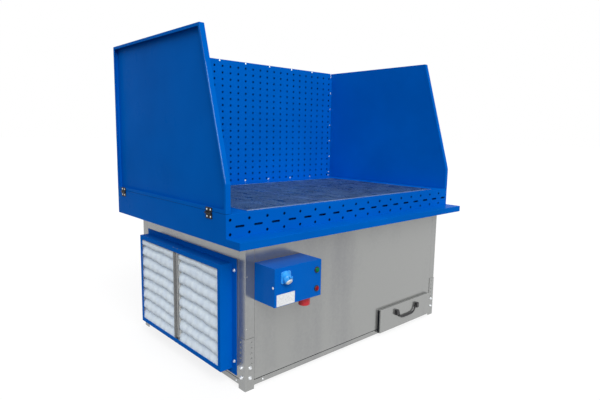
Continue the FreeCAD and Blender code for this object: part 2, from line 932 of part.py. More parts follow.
def make_drawer_tray():
    """Open dust tray that hangs on the inside of the front pan."""
    y = (drawer_face + drawer_sheet, drawer_tray_depth)
    block = box((tray_left, tray_right), y, (tray_bottom, tray_top))
    hollow = box(
        (tray_left + drawer_sheet, tray_right - drawer_sheet),
        (y[0] + drawer_sheet, y[1] - drawer_sheet),
        (tray_bottom + drawer_sheet, tray_top),
    )
    lower_front = box(
        (tray_left, tray_right), (y[0], -drawer_front_gap), (tray_bottom, drawer_bottom + drawer_sheet)
    )
    return block.cut(group([hollow, lower_front]))


def make_runner(side):
    """Angle on the cabinet floor beside the drawer tray."""
    edge = tray_left - runner_gap if side < 0 else tray_right + runner_gap
    y = (3 * cabinet_sheet, drawer_tray_depth)
    upright = box(sorted((edge, edge + side * runner_sheet)), y, (floor_top, floor_top + runner_height))
    foot = box(sorted((edge, edge + side * runner_width)), y, (floor_top, floor_top + runner_sheet))
    return join([upright, foot])


def make_handle_foot(side):
    """Black foot on the drawer front with a bore for the bail."""
    x = handle_x + side * handle_spacing / 2
    half = handle_foot_width / 2
    block = box(
        (x - half, x + half),
        (drawer_face - handle_foot_depth, drawer_face),
        (handle_z - handle_foot_height / 2, handle_z + handle_foot_height / 2),
    )
    start = vec(x - half, handle_y, handle_z)
    return block.cut(bore(handle_pin_radius + pin_clearance, start, vec(2 * half, 0, 0), small_sides))


def make_bail():
    """Hanging handle: a tapered bow with a pin at each end."""
    inner = handle_spacing / 2 - handle_foot_width / 2 - handle_gap
    y = handle_y - handle_bar / 2
    top = handle_z + handle_bar / 2
    low = handle_z - handle_reach
    right = [
        (inner, top),
        (inner, handle_z - handle_bar / 2),
        (inner - handle_taper, low),
    ]
    right_inner = [
        (inner - handle_taper - handle_bar, low + handle_bar),
        (inner - handle_bar, handle_z - handle_bar / 2),
        (inner - handle_bar, top),
    ]
    half_bow = right + [(-x, z) for x, z in reversed(right)]
    hollow_side = [(-x, z) for x, z in reversed(right_inner)]
    points = half_bow + hollow_side + right_inner
    bow = plate([vec(handle_x + dx, y, z) for dx, z in points], vec(0, handle_bar, 0))
    pins = []
    for side in (-1, 1):
        start = vec(handle_x + side * inner, handle_y, handle_z)
        along = vec(side * (handle_foot_width - handle_gap), 0, 0)
        pins.append(rod(handle_pin_radius, start, along, small_sides))
    return join([bow] + pins)


# Air path
def make_partition():
    """Wall between the hopper and the fan chamber, with the fan inlet."""
    wall = box(
        (partition_x - partition_sheet, partition_x),
        (2 * cabinet_sheet + seat_gap, cabinet_depth - 2 * cabinet_sheet - seat_gap),
        (floor_top, cabinet_top - cabinet_sheet - seat_gap),
    )
    centre = vec(partition_x, filter_middle, fan_height)
    return wall.cut(rod(fan_inlet_radius, centre, vec(-partition_sheet, 0, 0)))


def hopper_section(x, y, z, inset):
    return [
        vec(x[0] + inset, y[0] + inset, z),
        vec(x[1] - inset, y[0] + inset, z),
        vec(x[1] - inset, y[1] - inset, z),
        vec(x[0] + inset, y[1] - inset, z),
    ]


def make_hopper():
    """Four-sided funnel from the grates to the dust drawer."""
    top_x = (partition_x + hopper_clearance, cabinet_inside - hopper_clearance)
    top_y = (cabinet_sheet + hopper_clearance, cabinet_depth - cabinet_sheet - hopper_clearance)
    low_x = (tray_left + hopper_outlet_inset, tray_right - hopper_outlet_inset)
    low_y = (2 * cabinet_sheet + hopper_outlet_inset, drawer_tray_depth - 3 * hopper_outlet_inset)
    low_z = tray_top + hopper_drop_gap
    shells = []
    for inset in (0, hopper_sheet):
        top = hopper_section(top_x, top_y, hopper_top, inset)
        low = hopper_section(low_x, low_y, low_z, inset)
        shells.append(frustum(low, top))
    return shells[0].cut(shells[1])


def make_baffle():
    """Spark baffle: a hood over the fan inlet that is open below."""
    half = baffle_width / 2
    x = (partition_x, partition_x + baffle_depth)
    hood = box(x, (filter_middle - half, filter_middle + half), (baffle_bottom, baffle_top))
    hollow = box(
        (x[0], x[1] - partition_sheet),
        (filter_middle - half + partition_sheet, filter_middle + half - partition_sheet),
        (baffle_bottom, baffle_top - partition_sheet),
    )
    return hood.cut(hollow)


def fan_disc(radius, x):
    """Disc on the fan axis between two X values."""
    return rod(radius, vec(x[0], filter_middle, fan_height), vec(x[1] - x[0], 0, 0))


def fan_cone(radius, x):
    """Cone on the fan axis between two X values with a radius at each."""
    ends = []
    for place, size in zip(x, radius):
        ends.append(ring_points(size, vec(place, filter_middle, fan_height), vec(1, 0, 0), round_sides))
    return frustum(ends[0], ends[1])


def make_inlet_cone():
    """Bell mouth between the partition and the eye of the impeller."""
    sheet = fan_cone_sheet
    x = (partition_x - partition_sheet, partition_x - fan_cone_length)
    flange = fan_disc(fan_cone_flange, (x[0], x[0] - sheet))
    outer = fan_cone((fan_inlet_radius, fan_throat_radius), x)
    inner = fan_cone((fan_inlet_radius - sheet, fan_throat_radius - sheet), x)
    return join([flange, outer]).cut(inner)


def make_impeller():
    """Backward-inclined impeller: shroud, back plate, hub and straight blades."""
    sheet = impeller_sheet
    shroud_x = (impeller_front, impeller_front - sheet)
    eye = bore(impeller_eye_radius, vec(shroud_x[0], filter_middle, fan_height), vec(-sheet, 0, 0))
    shroud = fan_disc(impeller_radius, shroud_x).cut(eye)
    back_plate = fan_disc(impeller_radius, (impeller_back + sheet, impeller_back))
    hub = fan_disc(hub_radius, (impeller_back, impeller_back - hub_length))
    blade = box((impeller_back + sheet, impeller_front - sheet), (0, blade_length), (0, sheet))
    blade.rotate(vec(0, 0, 0), vec(1, 0, 0), -blade_angle)
    blade.translate(vec(0, filter_middle, fan_height + impeller_radius * blade_start))
    pieces = [shroud, back_plate, hub]
    for index in range(blade_count):
        turned = blade.copy()
        turned.rotate(vec(0, filter_middle, fan_height), vec(1, 0, 0), 360 * index / blade_count)
        pieces.append(turned)
    shaft_hole = fan_disc(shaft_radius + shaft_clearance, (impeller_back + sheet, impeller_back - hub_length))
    return join(pieces).cut(shaft_hole)


def make_shaft():
    """Motor shaft carrying the hub."""
    start = vec(impeller_back + impeller_sheet, filter_middle, fan_height)
    end = motor_front - shaft_in_motor
    return rod(shaft_radius, start, vec(end - start.x, 0, 0))


def make_motor():
    """Fan motor with its foot and terminal box, bored for the shaft."""
    start = vec(motor_front, filter_middle, fan_height)
    body = rod(motor_radius, start, vec(-motor_length, 0, 0))
    x = (motor_front - motor_length + motor_stand_margin, motor_front - motor_stand_margin)
    half = motor_foot_width / 2
    low = fan_height - motor_radius
    foot = box(x, (filter_middle - half, filter_middle + half), (low, low + motor_foot_height))
    middle = motor_front - motor_length / 2
    terminal = box(
        (middle - terminal_box / 2, middle + terminal_box / 2),
        (filter_middle - terminal_box / 2, filter_middle + terminal_box / 2),
        (fan_height + motor_radius - motor_foot_height, fan_height + motor_radius + terminal_height),
    )
    hole = bore(shaft_radius + shaft_clearance, start, vec(-shaft_in_motor - motor_gap, 0, 0))
    return join([body, foot, terminal]).cut(hole)


def make_motor_stand():
    """Folded stand on the cabinet floor under the motor."""
    x = (motor_front - motor_length + motor_stand_margin, motor_front - motor_stand_margin)
    half = motor_foot_width / 2 + motor_stand_margin
    y = (filter_middle - half, filter_middle + half)
    top = fan_height - motor_radius
    block = box(x, y, (floor_top, top))
    hollow = box(
        (x[0] + motor_stand_sheet, x[1] - motor_stand_sheet), y, (floor_top, top - motor_stand_sheet)
    )
    return block.cut(hollow)


# Everything by node name
def make_all():
    left_panel = make_left_panel()
    starts = hinge_starts()
    fixed = [make_fixed_leaf(start) for start in starts]
    moving = [make_moving_leaf(start) for start in starts]
    pins = [make_hinge_pin(start) for start in starts]
    start_z, stop_z = button_heights()
    nodes = {
        "table_frame": make_table_frame(),
        "grate_ledge_front": make_front_ledge(),
        "grate_ledge_rear": make_rear_ledge(),
        "wall_perforated_face": make_wall_face(),
        "wall_back_sheet": make_wall_back(),
        "left_panel": left_panel,
        "right_panel": mirrored(left_panel),
        "hinge_fixed_leaves": group(fixed + [mirrored(leaf) for leaf in fixed]),
        "hinge_pins": group(pins + [mirrored(pin) for pin in pins]),
        "left_hinge_moving_leaves": group(moving),
        "right_hinge_moving_leaves": group([mirrored(leaf) for leaf in moving]),
        "base_pan": make_base_pan(),
        "front_panel": make_front_panel(),
        "rear_panel": make_rear_panel(),
        "left_side_panel": make_left_side(),
        "right_side_panel": make_right_side(),
        "filter_frame": make_filter_frame(),
        "filter_centre_bar": make_filter_bar(),
        "control_box_base": make_box_base(),
        "control_box_cover": make_box_cover(),
        "button_bezels": group([make_bezel(start_z), make_bezel(stop_z)]),
        "button_contact_blocks": group([make_contact_block(start_z), make_contact_block(stop_z)]),
        "start_button": make_button(start_z),
        "stop_button": make_button(stop_z),
        "socket": make_socket(),
        "socket_lid": make_socket_lid(),
        "power_inlet": make_inlet(),
        "inlet_core": make_inlet_core(),
        "mounting_rail": make_rail(),
        "motor_starter": make_contactor(),
        "drawer_front": make_drawer_front(),
        "drawer_tray": make_drawer_tray(),
        "drawer_runners": group([make_runner(-1), make_runner(1)]),
        "handle_feet": group([make_handle_foot(-1), make_handle_foot(1)]),
        "bail_handle": make_bail(),
        "partition": make_partition(),
        "dust_hopper": make_hopper(),
        "spark_baffle": make_baffle(),
        "fan_inlet_cone": make_inlet_cone(),
        "fan_impeller": make_impeller(),
        "motor_shaft": make_shaft(),
        "fan_motor": make_motor(),
        "motor_stand": make_motor_stand(),
    }
    for index in range(grate_count):
        nodes["grate_%d" % (index + 1)] = make_grate(index)
    for rear, depth_name in ((False, "front"), (True, "rear")):
        nodes["filter_cell_frame_" + depth_name] = make_cell_frame(rear)
        nodes["filter_media_" + depth_name] = make_media(rear)
        for right, side_name in ((False, "left"), (True, "right")):
            corner = depth_name + "_" + side_name
            nodes["post_" + corner] = at_corner(make_post(), right, rear)
            nodes["leg_" + corner] = at_corner(make_leg(), right, rear)
    return nodes


def main():
    os.makedirs("parts", exist_ok=True)
    for name, shape in make_all().items():
        shape.translate(vec(0, -footprint_middle, 0))
        shape.exportStep("parts/" + name + ".step")
    print("footprint middle at Y", footprint_middle)


main()
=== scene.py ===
import json
import math
from functools import partial

import bmesh
import bpy
import numpy as np
from bpy.props import FloatProperty, FloatVectorProperty, IntProperty, PointerProperty
from mathutils import Matrix, Vector


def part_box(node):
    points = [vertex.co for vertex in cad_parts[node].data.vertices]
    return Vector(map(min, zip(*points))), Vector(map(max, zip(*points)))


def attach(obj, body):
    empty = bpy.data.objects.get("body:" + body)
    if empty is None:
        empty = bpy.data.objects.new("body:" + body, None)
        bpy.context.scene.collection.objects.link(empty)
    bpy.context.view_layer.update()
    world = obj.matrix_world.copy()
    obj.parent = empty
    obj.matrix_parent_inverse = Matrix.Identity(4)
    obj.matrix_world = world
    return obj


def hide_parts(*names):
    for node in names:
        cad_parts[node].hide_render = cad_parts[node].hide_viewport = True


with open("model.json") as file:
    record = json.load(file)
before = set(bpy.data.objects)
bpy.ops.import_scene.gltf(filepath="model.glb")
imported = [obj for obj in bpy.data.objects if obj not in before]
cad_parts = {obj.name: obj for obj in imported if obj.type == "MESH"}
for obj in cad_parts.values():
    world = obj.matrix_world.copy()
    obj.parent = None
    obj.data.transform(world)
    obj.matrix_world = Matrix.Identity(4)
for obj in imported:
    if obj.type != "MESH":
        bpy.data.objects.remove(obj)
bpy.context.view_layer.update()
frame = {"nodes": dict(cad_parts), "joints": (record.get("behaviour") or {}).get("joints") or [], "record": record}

# Looks of the downdraft table: finishes for the solids, and finer pieces for what the solids draw plainly.
# Metres, X to the right, Y to the rear, Z up from the floor.

bl_info = {
    "name": "Downdraft table",
    "version": (1, 0, 0),
    "blender": (4, 5, 0),
    "location": "3D view, sidebar, Downdraft table",
    "description": "Finishes, fittings and studio for the downdraft table",
    "category": "Object",
}

finishes = {}

# Directions
to_left, to_right = (-1, 0, 0), (1, 0, 0)
to_front, to_rear = (0, -1, 0), (0, 1, 0)
to_floor, to_top = (0, 0, -1), (0, 0, 1)

# Places taken from the frame
table_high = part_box("table_frame")[1]
cabinet_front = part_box("front_panel")[0].y
cabinet_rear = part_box("rear_panel")[1].y
cabinet_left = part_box("left_side_panel")[0].x
cabinet_right = -cabinet_left
wall_low, wall_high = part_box("wall_perforated_face")
box_low, box_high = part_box("control_box_cover")


# Settings
def a_length(name, description, default, least=0.0):
    """Setting for a length in metres."""
    return FloatProperty(name=name, description=description, default=default, min=least, unit="LENGTH")


def a_number(name, description, default, least=0.0):
    """Setting for a plain number."""
    return FloatProperty(name=name, description=description, default=default, min=least)


def a_count(name, description, default, least=1):
    """Setting for a number of equal features."""
    return IntProperty(name=name, description=description, default=default, min=least)


def a_colour(name, description, default):
    """Setting for a colour."""
    return FloatVectorProperty(
        name=name, description=description, default=default, subtype="COLOR", size=3, min=0, max=1
    )


class TableSizes(bpy.types.PropertyGroup):
    """Sizes of the fittings that a user would change."""

    hole_radius: a_length("Fascia hole radius", "Radius of the round holes in the fascia", 0.007, 0.001)
    slot_length: a_length("Fascia slot length", "Length over the round ends of a fascia slot", 0.048, 0.01)
    slot_height: a_length("Fascia slot height", "Height of a fascia slot", 0.010, 0.002)
    leg_hole_radius: a_length("Leg hole radius", "Radius of the height holes in the legs", 0.005, 0.001)
    grate_pitch: a_length("Grate pitch", "Distance between bearing bars of a grate", 0.0115, 0.004)
    pleat_depth: a_length("Pleat depth", "Depth of the filter pleats from crest to valley", 0.022, 0.002)
    pleat_droop: a_length("Pleat droop", "How much lower a pleat's front end lies than its rear end", 0.016)
    pleat_wave: a_length("Pleat wave", "How far a pleat wanders up and down along its length", 0.003)
    pleat_count: a_count("Pleats", "Pleats in each filter cell", 8, 2)
    rivet_radius: a_length("Rivet radius", "Radius of the rivet heads on the sheets", 0.0045, 0.001)
    bolt_radius: a_length("Bolt radius", "Radius over the corners of the bolt heads", 0.0066, 0.002)
    edge_radius: a_length("Fold radius", "Rounding of the folded sheet edges", 0.0009)


class TableColours(bpy.types.PropertyGroup):
    """Colours of the finishes that a user would change."""

    paint: a_colour("Paint", "Blue powder coat", (0.0, 0.122, 0.56))
    zinc: a_colour("Zinc", "Galvanised sheet", (0.315, 0.32, 0.32))
    media: a_colour("Filter media", "White fibre of the filter cells", (0.77, 0.87, 1.0))
    start: a_colour("Start button", "Green cap", (0.0, 0.16, 0.045))
    stop: a_colour("Stop button", "Red cap", (0.32, 0.003, 0.012))
    socket: a_colour("Socket", "Light blue socket body", (0.03, 0.36, 0.90))
    inlet: a_colour("Inlet", "Red mains inlet", (0.60, 0.012, 0.025))


class StageSettings(bpy.types.PropertyGroup):
    """Studio light and camera."""

    world_strength: a_number("Fill light", "Strength of the light from all round", 0.45)
    key_strength: a_number("Key light", "Strength of the soft light from the front", 2.5)
    lens: a_number("Lens", "Focal length of the camera in millimetres", 29.078, 1.0)


def sizes():
    return bpy.context.scene.downdraft_sizes


def colours():
    return bpy.context.scene.downdraft_colours


def stage_settings():
    return bpy.context.scene.downdraft_stage


# Shapes as arrays of points with lists of faces
def stacked(*parts):
    """Rows of coordinates from their parts, each an array or a single number."""
    return np.stack(np.broadcast_arrays(*parts), -1)


def grid_faces(rows, columns, wrap=False):
    """Quads of a grid of points, row by row; the columns join up at the ends where it wraps."""
    row = np.arange(rows - 1)[:, None] * columns
    column = np.arange(columns if wrap else columns - 1)[None]
    after = (column + 1) % columns
    corners = stacked(row + column, row + after, row + columns + after, row + columns + column)
    return corners.reshape(-1, 4).tolist()


def surface(points, wrap=False):
    """Shape from a grid of points, rows by columns by three."""
    rows, columns = points.shape[:2]
    return points.reshape(-1, 3), grid_faces(rows, columns, wrap)


def together(shapes):
    """One shape from several."""
    points = []
    faces = []
    start = 0
    for shape_points, shape_faces in shapes:
        points.append(shape_points)
        faces += [[corner + start for corner in face] for face in shape_faces]
        start += len(shape_points)
    return np.concatenate(points), faces


def unit(vector):
    vector = np.asarray(vector, float)
    return vector / np.linalg.norm(vector)


def square_to(axis):
    """Two directions square to an axis and to each other."""
    axis = unit(axis)
    helper = np.array(to_top if abs(axis[2]) < 0.9 else to_right, float)
    first = unit(np.cross(helper, axis))
    return first, np.cross(axis, first)


def ring_places(count, radius):
    """Places evenly round a circle about the origin, on the level."""
    angle = np.arange(count) * 2 * np.pi / count
    return stacked(np.cos(angle) * radius, np.sin(angle) * radius, 0.0)


def turned(profile, centre, axis, steps=28):
    """Surface of revolution: each radius of the profile goes round the axis at its height along it."""
    radius, height = np.asarray(profile, float).T
    first, second = square_to(axis)
    ring = ring_places(steps, 1.0)
    ring = ring[:, :1] * first + ring[:, 1:2] * second
    points = np.asarray(centre, float) + height[:, None, None] * unit(axis) + radius[:, None, None] * ring
    return surface(points, wrap=True)


def swept(path, normal, radius, sides=16):
    """Tube round a plane path: at each point a circle spans the plane's normal and the path's own normal."""
    path = np.asarray(path, float)
    along = np.gradient(path, axis=0)
    along /= np.linalg.norm(along, axis=1)[:, None]
    normal = unit(normal)
    across = np.cross(along, normal)
    path = np.concatenate([path[:1], path, path[-1:]])
    across = np.concatenate([across[:1], across, across[-1:]])
    radius = np.concatenate([[0.0], radius, [0.0]])
    ring = ring_places(sides, 1.0)
    ring = ring[None, :, :1] * normal + ring[None, :, 1:2] * across[:, None]
    return surface(path[:, None] + radius[:, None, None] * ring, wrap=True)


def rounded_outline(width, height, radius, steps=5):
    """Rectangle round the origin whose corners are quarter circles."""
    angle = (np.arange(4)[:, None] + np.linspace(0, 1, steps)) * np.pi / 2
    corner = np.array([(1, 1), (-1, 1), (-1, -1), (1, -1)]) * (width / 2 - radius, height / 2 - radius)
    arc = radius * stacked(np.cos(angle), np.sin(angle))
    return (corner[:, None] + arc).reshape(-1, 2)


def prism(outline, centre, across, upward, along):
    """Outline in a plane, pushed along a vector and closed at both ends."""
    base = np.asarray(centre, float) + outline[:, :1] * unit(across) + outline[:, 1:] * unit(upward)
    count = len(base)
    points = np.concatenate([base, base + np.asarray(along, float)])
    first = np.arange(count)
    after = (first + 1) % count
    sides = stacked(first, after, after + count, first + count).tolist()
    return points, sides + [list(range(count))[::-1], list(range(count, 2 * count))]


def blocks(low, high):
    """Boxes between arrays of lowest and highest corners."""
    low = np.asarray(low, float)
    high = np.asarray(high, float)
    pick = np.array([[x, y, z] for x in (0, 1) for y in (0, 1) for z in (0, 1)])
    points = low[:, None] + (high - low)[:, None] * pick
    faces = np.array([[0, 1, 3, 2], [4, 6, 7, 5], [0, 4, 5, 1], [2, 3, 7, 6], [0, 2, 6, 4], [1, 5, 7, 3]])
    corners = faces[None] + 8 * np.arange(len(low))[:, None, None]
    return points.reshape(-1, 3), corners.reshape(-1, 4).tolist()


def copies(shape, places):
    """The same shape at each place."""
    points, faces = shape
    return together([(points + np.asarray(place), faces) for place in places])


def hole_rings(straight, radius, per_side):
    """Unit square's edge and the slot's edge, point for point; a half circle is at each end of the slot."""
    share = np.linspace(-1, 1, per_side, endpoint=False)
    level = 0.75 if straight else 0.0
    bend = np.sign(share) * np.clip(np.abs(share) - level, 0, None) / (1 - level)
    slide = np.clip(share / level, -1, 1) if straight else np.zeros(per_side)
    quarter = np.pi / 4
    square = [stacked(share, 1.0), stacked(1.0, -share), stacked(-share, -1.0), stacked(-1.0, share)]
    top = stacked(straight * slide + radius * np.sin(bend * quarter), radius * np.cos(bend * quarter))
    right = stacked(straight + radius * np.cos(share * quarter), -radius * np.sin(share * quarter))
    return np.concatenate(square), np.concatenate([top, right, -top, -right])


def punched(low, high, hole, straight, radius, per_side):
    """Flat cells, each a rectangle with a slot or a round hole in it, as rows of (across, upward) points."""
    square, edge = hole_rings(straight, radius, per_side)
    low = np.asarray(low, float)
    high = np.asarray(high, float)
    outer = ((low + high) / 2)[:, None] + ((high - low) / 2)[:, None] * square
    inner = np.asarray(hole, float)[:, None] + edge
    count = len(square)
    points = np.stack([outer, inner], 1).reshape(-1, 2)
    first = np.arange(count)
    after = (first + 1) % count
    cell = stacked(first, first + count, after + count, after)
    faces = cell[None] + 2 * count * np.arange(len(low))[:, None, None]
    return points, faces.reshape(-1, 4).tolist()


def flat_grid(across, upward):
    """Flat grid of (across, upward) points on given lines."""
    points = stacked(*np.meshgrid(across, upward))
    rows, columns = points.shape[:2]
    return points.reshape(-1, 2), grid_faces(rows, columns)


# Pieces
def merged_mesh(name, shape, outward=None):
    """Mesh with its doubles merged: a closed shape is made to face outwards, and an open sheet is turned."""
    points, faces = shape
    mesh = bpy.data.meshes.new(name)
    mesh.from_pydata(points.tolist(), [], faces)
    work = bmesh.new()
    work.from_mesh(mesh)
    bmesh.ops.remove_doubles(work, verts=work.verts, dist=1e-6)
    if outward is None:
        bmesh.ops.recalc_face_normals(work, faces=work.faces)
    elif sum((face.normal * face.calc_area()).dot(outward) for face in work.faces) < 0:
        bmesh.ops.reverse_faces(work, faces=work.faces)
    work.to_mesh(mesh)
    work.free()
    return mesh


def add_object(name, mesh, finish):
    mesh.materials.append(finish)
    piece = bpy.data.objects.new(name, mesh)
    bpy.context.scene.collection.objects.link(piece)
    return piece


def add_bevel(piece, width):
    bevel = piece.modifiers.new("rounded edges", "BEVEL")
    bevel.width = width
    bevel.segments = 2
    bevel.limit_method = "ANGLE"
    bevel.angle_limit = math.radians(40)


def add_piece(
    name, shape, slot, body, nodes=(), outward=None, thickness=0.0, bevel=0.0, smooth=35, finish=None
):
    """Mesh object at the origin that rides on a body, with the finish of its slot or another one."""
    mesh = merged_mesh(name, shape, outward)
    mesh.polygons.foreach_set("use_smooth", np.full(len(mesh.polygons), smooth > 0))
    mesh.set_sharp_from_angle(angle=math.radians(smooth))
    piece = add_object(name, mesh, finishes[finish or slot])
    if thickness:
        solid = piece.modifiers.new("thickness", "SOLIDIFY")
        solid.thickness = thickness
        solid.offset = -1
        solid.use_even_offset = True
    if bevel:
        add_bevel(piece, bevel)
    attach(piece, body)
    if nodes:
        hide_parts(*nodes)
    return piece


# Shader nodes
def fill_sockets(tree, node, values):
    """Sets the sockets of a node: another node's socket is linked, and anything else is a constant."""
    for label, value in values.items():
        if isinstance(value, bpy.types.NodeSocket):
            tree.links.new(value, node.inputs[label])
        else:
            node.inputs[label].default_value = value


def add_node(tree, kind, values):
    node = tree.nodes.new("ShaderNode" + kind)
    fill_sockets(tree, node, values)
    return node


def add_math(tree, operation, *values):
    """Result of a Math node on the values in their order."""
    node = add_node(tree, "Math", dict(enumerate(values)))
    node.operation = operation
    return node.outputs[0]


# Finishes
class Finish:
    """Material with one Principled shader; its methods add procedural detail on object coordinates."""

    def __init__(self, name, colour, roughness, metallic=0.0, **sockets):
        self.material = bpy.data.materials.new(name)
        self.material.use_nodes = True
        self.material.diffuse_color = (*colour, 1)
        self.tree = self.material.node_tree
        self.colour = np.array(colour)
        self.place = add_node(self.tree, "TexCoord", {}).outputs["Object"]
        self.normal = None
        self.shade(Base_Color=(*colour, 1), Roughness=roughness, Metallic=metallic, **sockets)

    def shade(self, **sockets):
        """Sets sockets of the shader, with an underscore for each space in their names."""
        values = {label.replace("_", " "): value for label, value in sockets.items()}
        fill_sockets(self.tree, self.tree.nodes["Principled BSDF"], values)

    def noise(self, scale, detail=2.0, rough=0.5, stretch=None):
        """Cloudy noise from 0 to 1, on coordinates that may be scaled along each axis."""
        place = self.place
        if stretch:
            place = add_node(self.tree, "Mapping", {"Vector": place, "Scale": stretch}).outputs["Vector"]
        values = {"Vector": place, "Scale": scale, "Detail": detail, "Roughness": rough}
        return add_node(self.tree, "TexNoise", values).outputs["Fac"]

    def cells(self, scale, output):
        """Random value in each cell, or the distance to its middle."""
        return add_node(self.tree, "TexVoronoi", {"Vector": self.place, "Scale": scale}).outputs[output]

    def sum(self, first, second, share):
        """First value plus a share of the second."""
        return add_math(self.tree, "MULTIPLY_ADD", second, share, first)

    def between(self, factor, low, high, start, end):
        """Value from start to end as the factor goes from low to high."""
        values = {"Value": factor, "From Min": low, "From Max": high, "To Min": start, "To Max": end}
        return add_node(self.tree, "MapRange", values).outputs["Result"]

    def tint(self, factor, dark, light, low=0.3, high=0.7):
        """Base colour from a darker to a lighter share of itself as the factor goes from low to high."""
        ramp = add_node(self.tree, "ValToRGB", {"Fac": factor})
        for stop, position, share in zip(ramp.color_ramp.elements, (low, high), (dark, light)):
            stop.position = position
            stop.color = (*np.clip(self.colour * np.array(share), 0, 1), 1)
        self.shade(Base_Color=ramp.outputs["Color"])

    def gloss(self, factor, start, end, low=0.3, high=0.7):
        """Roughness that varies with the factor."""
        self.shade(Roughness=self.between(factor, low, high, start, end))

    def bump(self, height, strength, distance):
        """Relief from a height; several reliefs add up."""
        values = {"Height": height, "Strength": strength, "Distance": distance}
        if self.normal:
            values["Normal"] = self.normal
        self.normal = add_node(self.tree, "Bump", values).outputs["Normal"]
        self.shade(Normal=self.normal)


def powder_coat(name, colour, roughness, shine):
    """Powder coat: soft clouds of tone, a patchy gloss and the fine ripple of an orange peel."""
    finish = Finish(name, colour, roughness, Specular_IOR_Level=shine, Specular_Tint=(0.55, 0.85, 1, 1))
    finish.tint(finish.noise(2.2, 3.0, 0.55), (1, 0.9, 0.9), (1, 1.08, 1.05))
    finish.gloss(finish.noise(7.0, 4.0, 0.6), roughness - 0.05, roughness + 0.07)
    finish.bump(finish.noise(420.0), 0.12, 0.0004)
    finish.bump(finish.noise(9.0), 0.06, 0.004)
    return finish


def zinc_sheet(name, colour, roughness):
    """Galvanised sheet, part dull and part bright: crystals in many tones, rolling streaks and slow waves."""
    finish = Finish(name, colour, roughness, 0.68)
    crystals = finish.cells(85.0, "Color")
    streaks = finish.noise(5.0, 5.0, 0.6, (1.0, 1.0, 0.12))
    patches = finish.sum(streaks, finish.noise(1.3), 0.8)
    finish.tint(finish.sum(patches, crystals, 0.12), (0.88, 0.88, 0.90), (1.10, 1.10, 1.08), 0.65, 1.35)
    grains = finish.sum(finish.noise(30.0, 4.0, 0.6), crystals, 0.3)
    finish.gloss(grains, roughness - 0.04, roughness + 0.06, 0.4, 1.0)
    finish.bump(finish.noise(3.0, 1.0, 0.4), 0.06, 0.02)
    finish.bump(finish.noise(260.0, 3.0, 0.6), 0.02, 0.0003)
    return finish


def bar_steel(name, colour, roughness):
    """Mill-finished or cast metal: blotches, fine pits and lengthwise scratches."""
    finish = Finish(name, colour, roughness, 1.0)
    finish.tint(finish.noise(14.0, 5.0, 0.62), (0.76, 0.76, 0.78), (1.14, 1.14, 1.14), 0.3, 0.72)
    scratches = finish.noise(60.0, 4.0, 0.6, (1.0, 0.1, 1.0))
    finish.gloss(scratches, roughness - 0.06, roughness + 0.10)
    finish.bump(finish.noise(600.0, 3.0, 0.6), 0.08, 0.0003)
    return finish


def bright_plate(name, colour, roughness):
    """Zinc-plated fasteners: a bright metal with faint clouds of passivation."""
    finish = Finish(name, colour, roughness, 1.0)
    clouds = finish.noise(120.0, 3.0, 0.6)
    finish.tint(clouds, (0.85, 0.85, 0.82), (1.1, 1.1, 1.08))
    finish.gloss(clouds, roughness - 0.05, roughness + 0.08)
    finish.bump(finish.noise(900.0), 0.05, 0.0002)
    return finish


def moulded(name, colour, roughness, shine=0.5):
    """Moulded plastic, rubber or thick black enamel: fine spark-eroded grain and a slightly uneven gloss."""
    finish = Finish(name, colour, roughness, Specular_IOR_Level=shine)
    clouds = finish.noise(45.0, 3.0, 0.6)
    finish.tint(clouds, (0.88, 0.88, 0.88), (1.1, 1.1, 1.1))
    finish.gloss(clouds, roughness - 0.06, roughness + 0.08)
    finish.bump(finish.noise(1500.0), 0.12, 0.0003)
    return finish


def fibre_fleece(name, colour, roughness):
    """Non-woven fleece: matted fibres as a fine crossed noise, with soft clouds where it is thicker."""
    finish = Finish(name, colour, roughness, Sheen_Weight=0.25, Sheen_Roughness=0.5)
    fibres = finish.noise(900.0, 4.0, 0.7, (1.0, 0.3, 1.0))
    clouds = finish.sum(finish.noise(38.0, 4.0, 0.6), fibres, 0.35)
    finish.tint(clouds, (0.86, 0.88, 0.91), (1.08, 1.07, 1.06), 0.4, 0.9)
    finish.bump(fibres, 0.35, 0.0008)
    finish.bump(finish.noise(160.0, 3.0, 0.6), 0.2, 0.0015)
    return finish


def pressed_card(name, colour, roughness):
    """Pressed card of the cell frames: flecks and a soft fibrous relief."""
    finish = Finish(name, colour, roughness)
    flecks = finish.noise(240.0, 4.0, 0.7, (1.0, 0.4, 1.0))
    finish.tint(flecks, (0.84, 0.84, 0.82), (1.08, 1.08, 1.08), 0.3, 0.75)
    finish.bump(flecks, 0.2, 0.0005)
    return finish


def hammered(name, colour, roughness):
    """Hammer paint: small dimples with a soft gloss."""
    finish = Finish(name, colour, roughness, Coat_Weight=0.2, Coat_Roughness=0.2)
    finish.tint(finish.noise(20.0, 3.0, 0.6), (0.85, 0.85, 0.85), (1.1, 1.1, 1.1))
    finish.bump(finish.cells(260.0, "Distance"), 0.25, 0.0008)
    return finish


